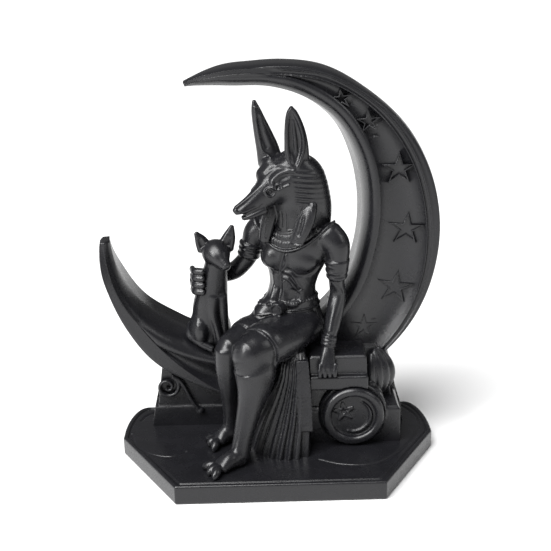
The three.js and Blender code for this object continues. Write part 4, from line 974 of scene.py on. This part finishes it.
def filament(name="black_filament"):
    material = bpy.data.materials.new(name)
    material.use_nodes = True
    nodes = material.node_tree.nodes
    links = material.node_tree.links
    body = nodes["Principled BSDF"]
    body.inputs["IOR"].default_value = FILAMENT_IOR
    place = nodes.new("ShaderNodeTexCoord")

    def math_node(kind, a, b=None):
        node = nodes.new("ShaderNodeMath")
        node.operation = kind
        for slot, value in ((0, a), (1, b)):
            if isinstance(value, float):
                node.inputs[slot].default_value = value
            elif value is not None:
                links.new(value, node.inputs[slot])
        return node.outputs["Value"]

    # Uneven pull of the thread, a few millimetres across, and fine grain on the skin.
    blotch = shader(material, "ShaderNodeTexNoise", Scale=190.0, Detail=3.0)
    links.new(place.outputs["Object"], blotch.inputs["Vector"])
    grain = shader(material, "ShaderNodeTexNoise", Scale=1500.0, Detail=2.0)
    links.new(place.outputs["Object"], grain.inputs["Vector"])

    # Printed layers: a rounded thread every LAYER_HEIGHT, so level tops show contour steps.
    split = nodes.new("ShaderNodeSeparateXYZ")
    links.new(place.outputs["Object"], split.inputs["Vector"])
    wander = math_node("MULTIPLY", blotch.outputs["Fac"], LAYER_HEIGHT * 0.5)
    height = math_node("ADD", split.outputs["Z"], wander)
    layer = math_node("FRACT", math_node("MULTIPLY", height, 1 / LAYER_HEIGHT))
    across = math_node("SUBTRACT", math_node("MULTIPLY", layer, 2.0), 1.0)
    thread = math_node("SUBTRACT", 1.0, math_node("MULTIPLY", across, across))
    layers = shader(material, "ShaderNodeBump", Strength=LAYER_STRENGTH, Distance=LAYER_DEPTH)
    links.new(thread, layers.inputs["Height"])
    skin_bump = shader(material, "ShaderNodeBump", Strength=0.3, Distance=0.00003)
    links.new(grain.outputs["Fac"], skin_bump.inputs["Height"])
    links.new(layers.outputs["Normal"], skin_bump.inputs["Normal"])
    links.new(skin_bump.outputs["Normal"], body.inputs["Normal"])

    sheen = nodes.new("ShaderNodeMapRange")
    sheen.inputs["To Min"].default_value = FILAMENT_ROUGH - 0.05
    sheen.inputs["To Max"].default_value = FILAMENT_ROUGH + 0.07
    links.new(blotch.outputs["Fac"], sheen.inputs["Value"])
    links.new(sheen.outputs["Result"], body.inputs["Roughness"])
    tint = nodes.new("ShaderNodeMix")
    tint.data_type = "RGBA"
    tint.inputs["A"].default_value = (*[c * 0.75 for c in FILAMENT_COLOUR], 1)
    tint.inputs["B"].default_value = (*[c * 1.35 for c in FILAMENT_COLOUR], 1)
    links.new(blotch.outputs["Fac"], tint.inputs["Factor"])
    links.new(tint.outputs["Result"], body.inputs["Base Color"])
    return material


# Build

def finish_piece(obj, material):
    obj.data.materials.clear()
    obj.data.materials.append(material)
    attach(obj, "root")
    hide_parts(NODE)


def figure_piece():
    clay = Clay((-36, -36, 5), (32, 26, 96), 0.3)
    torso(clay)
    arms(clay)
    collar(clay)
    belt(clay)
    kilt(clay)
    legs(clay)
    foot(clay, (-14.4, -20.4), ((-27.9, -23.5), (-25.9, -28.3), (-23.7, -31.6)))
    foot(clay, (-18, -1.6), ((-27.5, -2.9), (-26.5, -6.9), (-24.5, -11.2)))
    drape(clay)
    fingers(clay)
    return clay.piece("seated_figure", 195000)


def head_piece():
    clay = Clay((-20, -8, 80), (26, 24, 138), 0.25)
    head(clay)
    ears(clay)
    return clay.piece("jackal_head", 180000)


def pup_piece():
    clay = Clay((-37, 0, 36), (-8, 26, 92), 0.25)
    pup(clay)
    return clay.piece("pup", 120000)


def crescent_piece():
    points, quads, triangles = crescent_form()
    return mesh_piece("crescent", points, quads, triangles)


def stars_piece():
    points = []
    quads = []
    for x, z, radius, turn in STARS:
        star_points, star_quads = raised_outline(star_corners(x, z, radius, turn), STAR_LINE,
                                                 STAR_FACE_Y, STAR_FOOT_Y)
        quads += (star_quads + len(points)).tolist()
        points += star_points.tolist()
    triangles = []
    for start, end in RAYS:
        line = [(start[0], STAR_FACE_Y + 0.2, start[1]), (end[0], STAR_FACE_Y + 0.2, end[1])]
        ray_points, ray_quads, ray_triangles = stroke(line, 0.2, 1.6, (0, 1, 0), 2)
        quads += (ray_quads + len(points)).tolist()
        triangles += (ray_triangles + len(points)).tolist()
        points += ray_points.tolist()
    return mesh_piece("stars", points, quads, triangles)


def aimed(obj, place, aim):
    """Puts an object at a place, with its -z axis towards the aim."""
    away = unit(np.array(place) - np.array(aim))
    side = unit(np.cross((0, 0, 1), away))
    up = np.cross(away, side)
    matrix = Matrix.Identity(4)
    for row in range(3):
        matrix[row][0] = side[row]
        matrix[row][1] = up[row]
        matrix[row][2] = away[row]
        matrix[row][3] = place[row]
    obj.matrix_world = matrix


def around(azimuth, elevation, distance, centre):
    """A place round the object: azimuth 0 is the front, negative to the left."""
    a = math.radians(azimuth)
    e = math.radians(elevation)
    return (centre[0] + distance * math.sin(a) * math.cos(e),
            centre[1] - distance * math.cos(a) * math.cos(e), centre[2] + distance * math.sin(e))


def soft_box(name, azimuth, elevation, distance, size, power):
    data = bpy.data.lights.new(name, "AREA")
    data.shape = "RECTANGLE"
    data.size, data.size_y = size
    data.energy = power
    obj = bpy.data.objects.new(name, data)
    bpy.context.scene.collection.objects.link(obj)
    aimed(obj, around(azimuth, elevation, distance, STUDIO_CENTRE), STUDIO_CENTRE)


def studio():
    floor_mesh = bpy.data.meshes.new("floor")
    reach = 5.0
    floor_mesh.from_pydata([(-reach, -reach, 0), (reach, -reach, 0), (reach, reach, 0), (-reach, reach, 0)],
                           [], [(0, 1, 2, 3)])
    floor = bpy.data.objects.new("floor", floor_mesh)
    bpy.context.scene.collection.objects.link(floor)
    paper = bpy.data.materials.new("paper")
    paper.use_nodes = True
    paper.node_tree.nodes["Principled BSDF"].inputs["Base Color"].default_value = (0.9, 0.9, 0.9, 1)
    paper.node_tree.nodes["Principled BSDF"].inputs["Roughness"].default_value = 0.9
    floor_mesh.materials.append(paper)
    world = bpy.data.worlds.new("studio")
    bpy.context.scene.world = world
    world.use_nodes = True
    world.node_tree.nodes["Background"].inputs["Color"].default_value = (1, 1, 1, 1)
    world.node_tree.nodes["Background"].inputs["Strength"].default_value = 0.16
    sky = bpy.data.lights.new("sky", "SUN")
    sky.energy = 4.2
    sky.angle = math.radians(40)
    lamp = bpy.data.objects.new("sky", sky)
    bpy.context.scene.collection.objects.link(lamp)
    aimed(lamp, around(-40, 62, 1.0, STUDIO_CENTRE), STUDIO_CENTRE)
    soft_box("key", -58, 30, 0.9, (0.22, 0.42), 7)
    soft_box("rim", 75, 35, 0.9, (0.3, 0.3), 1.2)
    bpy.context.scene.view_settings.view_transform = "Standard"


STUDIO_CENTRE = (0, 0, 0.07)

# The camera stands where the plinth's outline in the picture puts it.
CAMERA_AT = (-0.007379, -0.345124, 0.197583)
CAMERA_RIGHT = (0.99957, -0.02572, -0.01379)
CAMERA_UP = (0.02161, 0.33475, 0.94206)
CAMERA_AHEAD = (0.01962, 0.94196, -0.33516)
CAMERA_FOCUS_PX = 1013.9
PICTURE_PX = 551


def camera():
    data = bpy.data.cameras.new("camera")
    data.sensor_fit = "HORIZONTAL"
    data.sensor_width = 36.0
    data.lens = CAMERA_FOCUS_PX * 36.0 / PICTURE_PX
    data.clip_start = 0.01
    obj = bpy.data.objects.new("camera", data)
    bpy.context.scene.collection.objects.link(obj)
    matrix = Matrix.Identity(4)
    for row in range(3):
        matrix[row][0] = CAMERA_RIGHT[row]
        matrix[row][1] = CAMERA_UP[row]
        matrix[row][2] = -CAMERA_AHEAD[row]
        matrix[row][3] = CAMERA_AT[row]
    obj.matrix_world = matrix
    bpy.context.scene.camera = obj


black = filament()
for build in (plinth_piece, blocks_piece, crescent_piece, stars_piece, figure_piece, head_piece, pup_piece):
    finish_piece(build(), black)
studio()
camera()
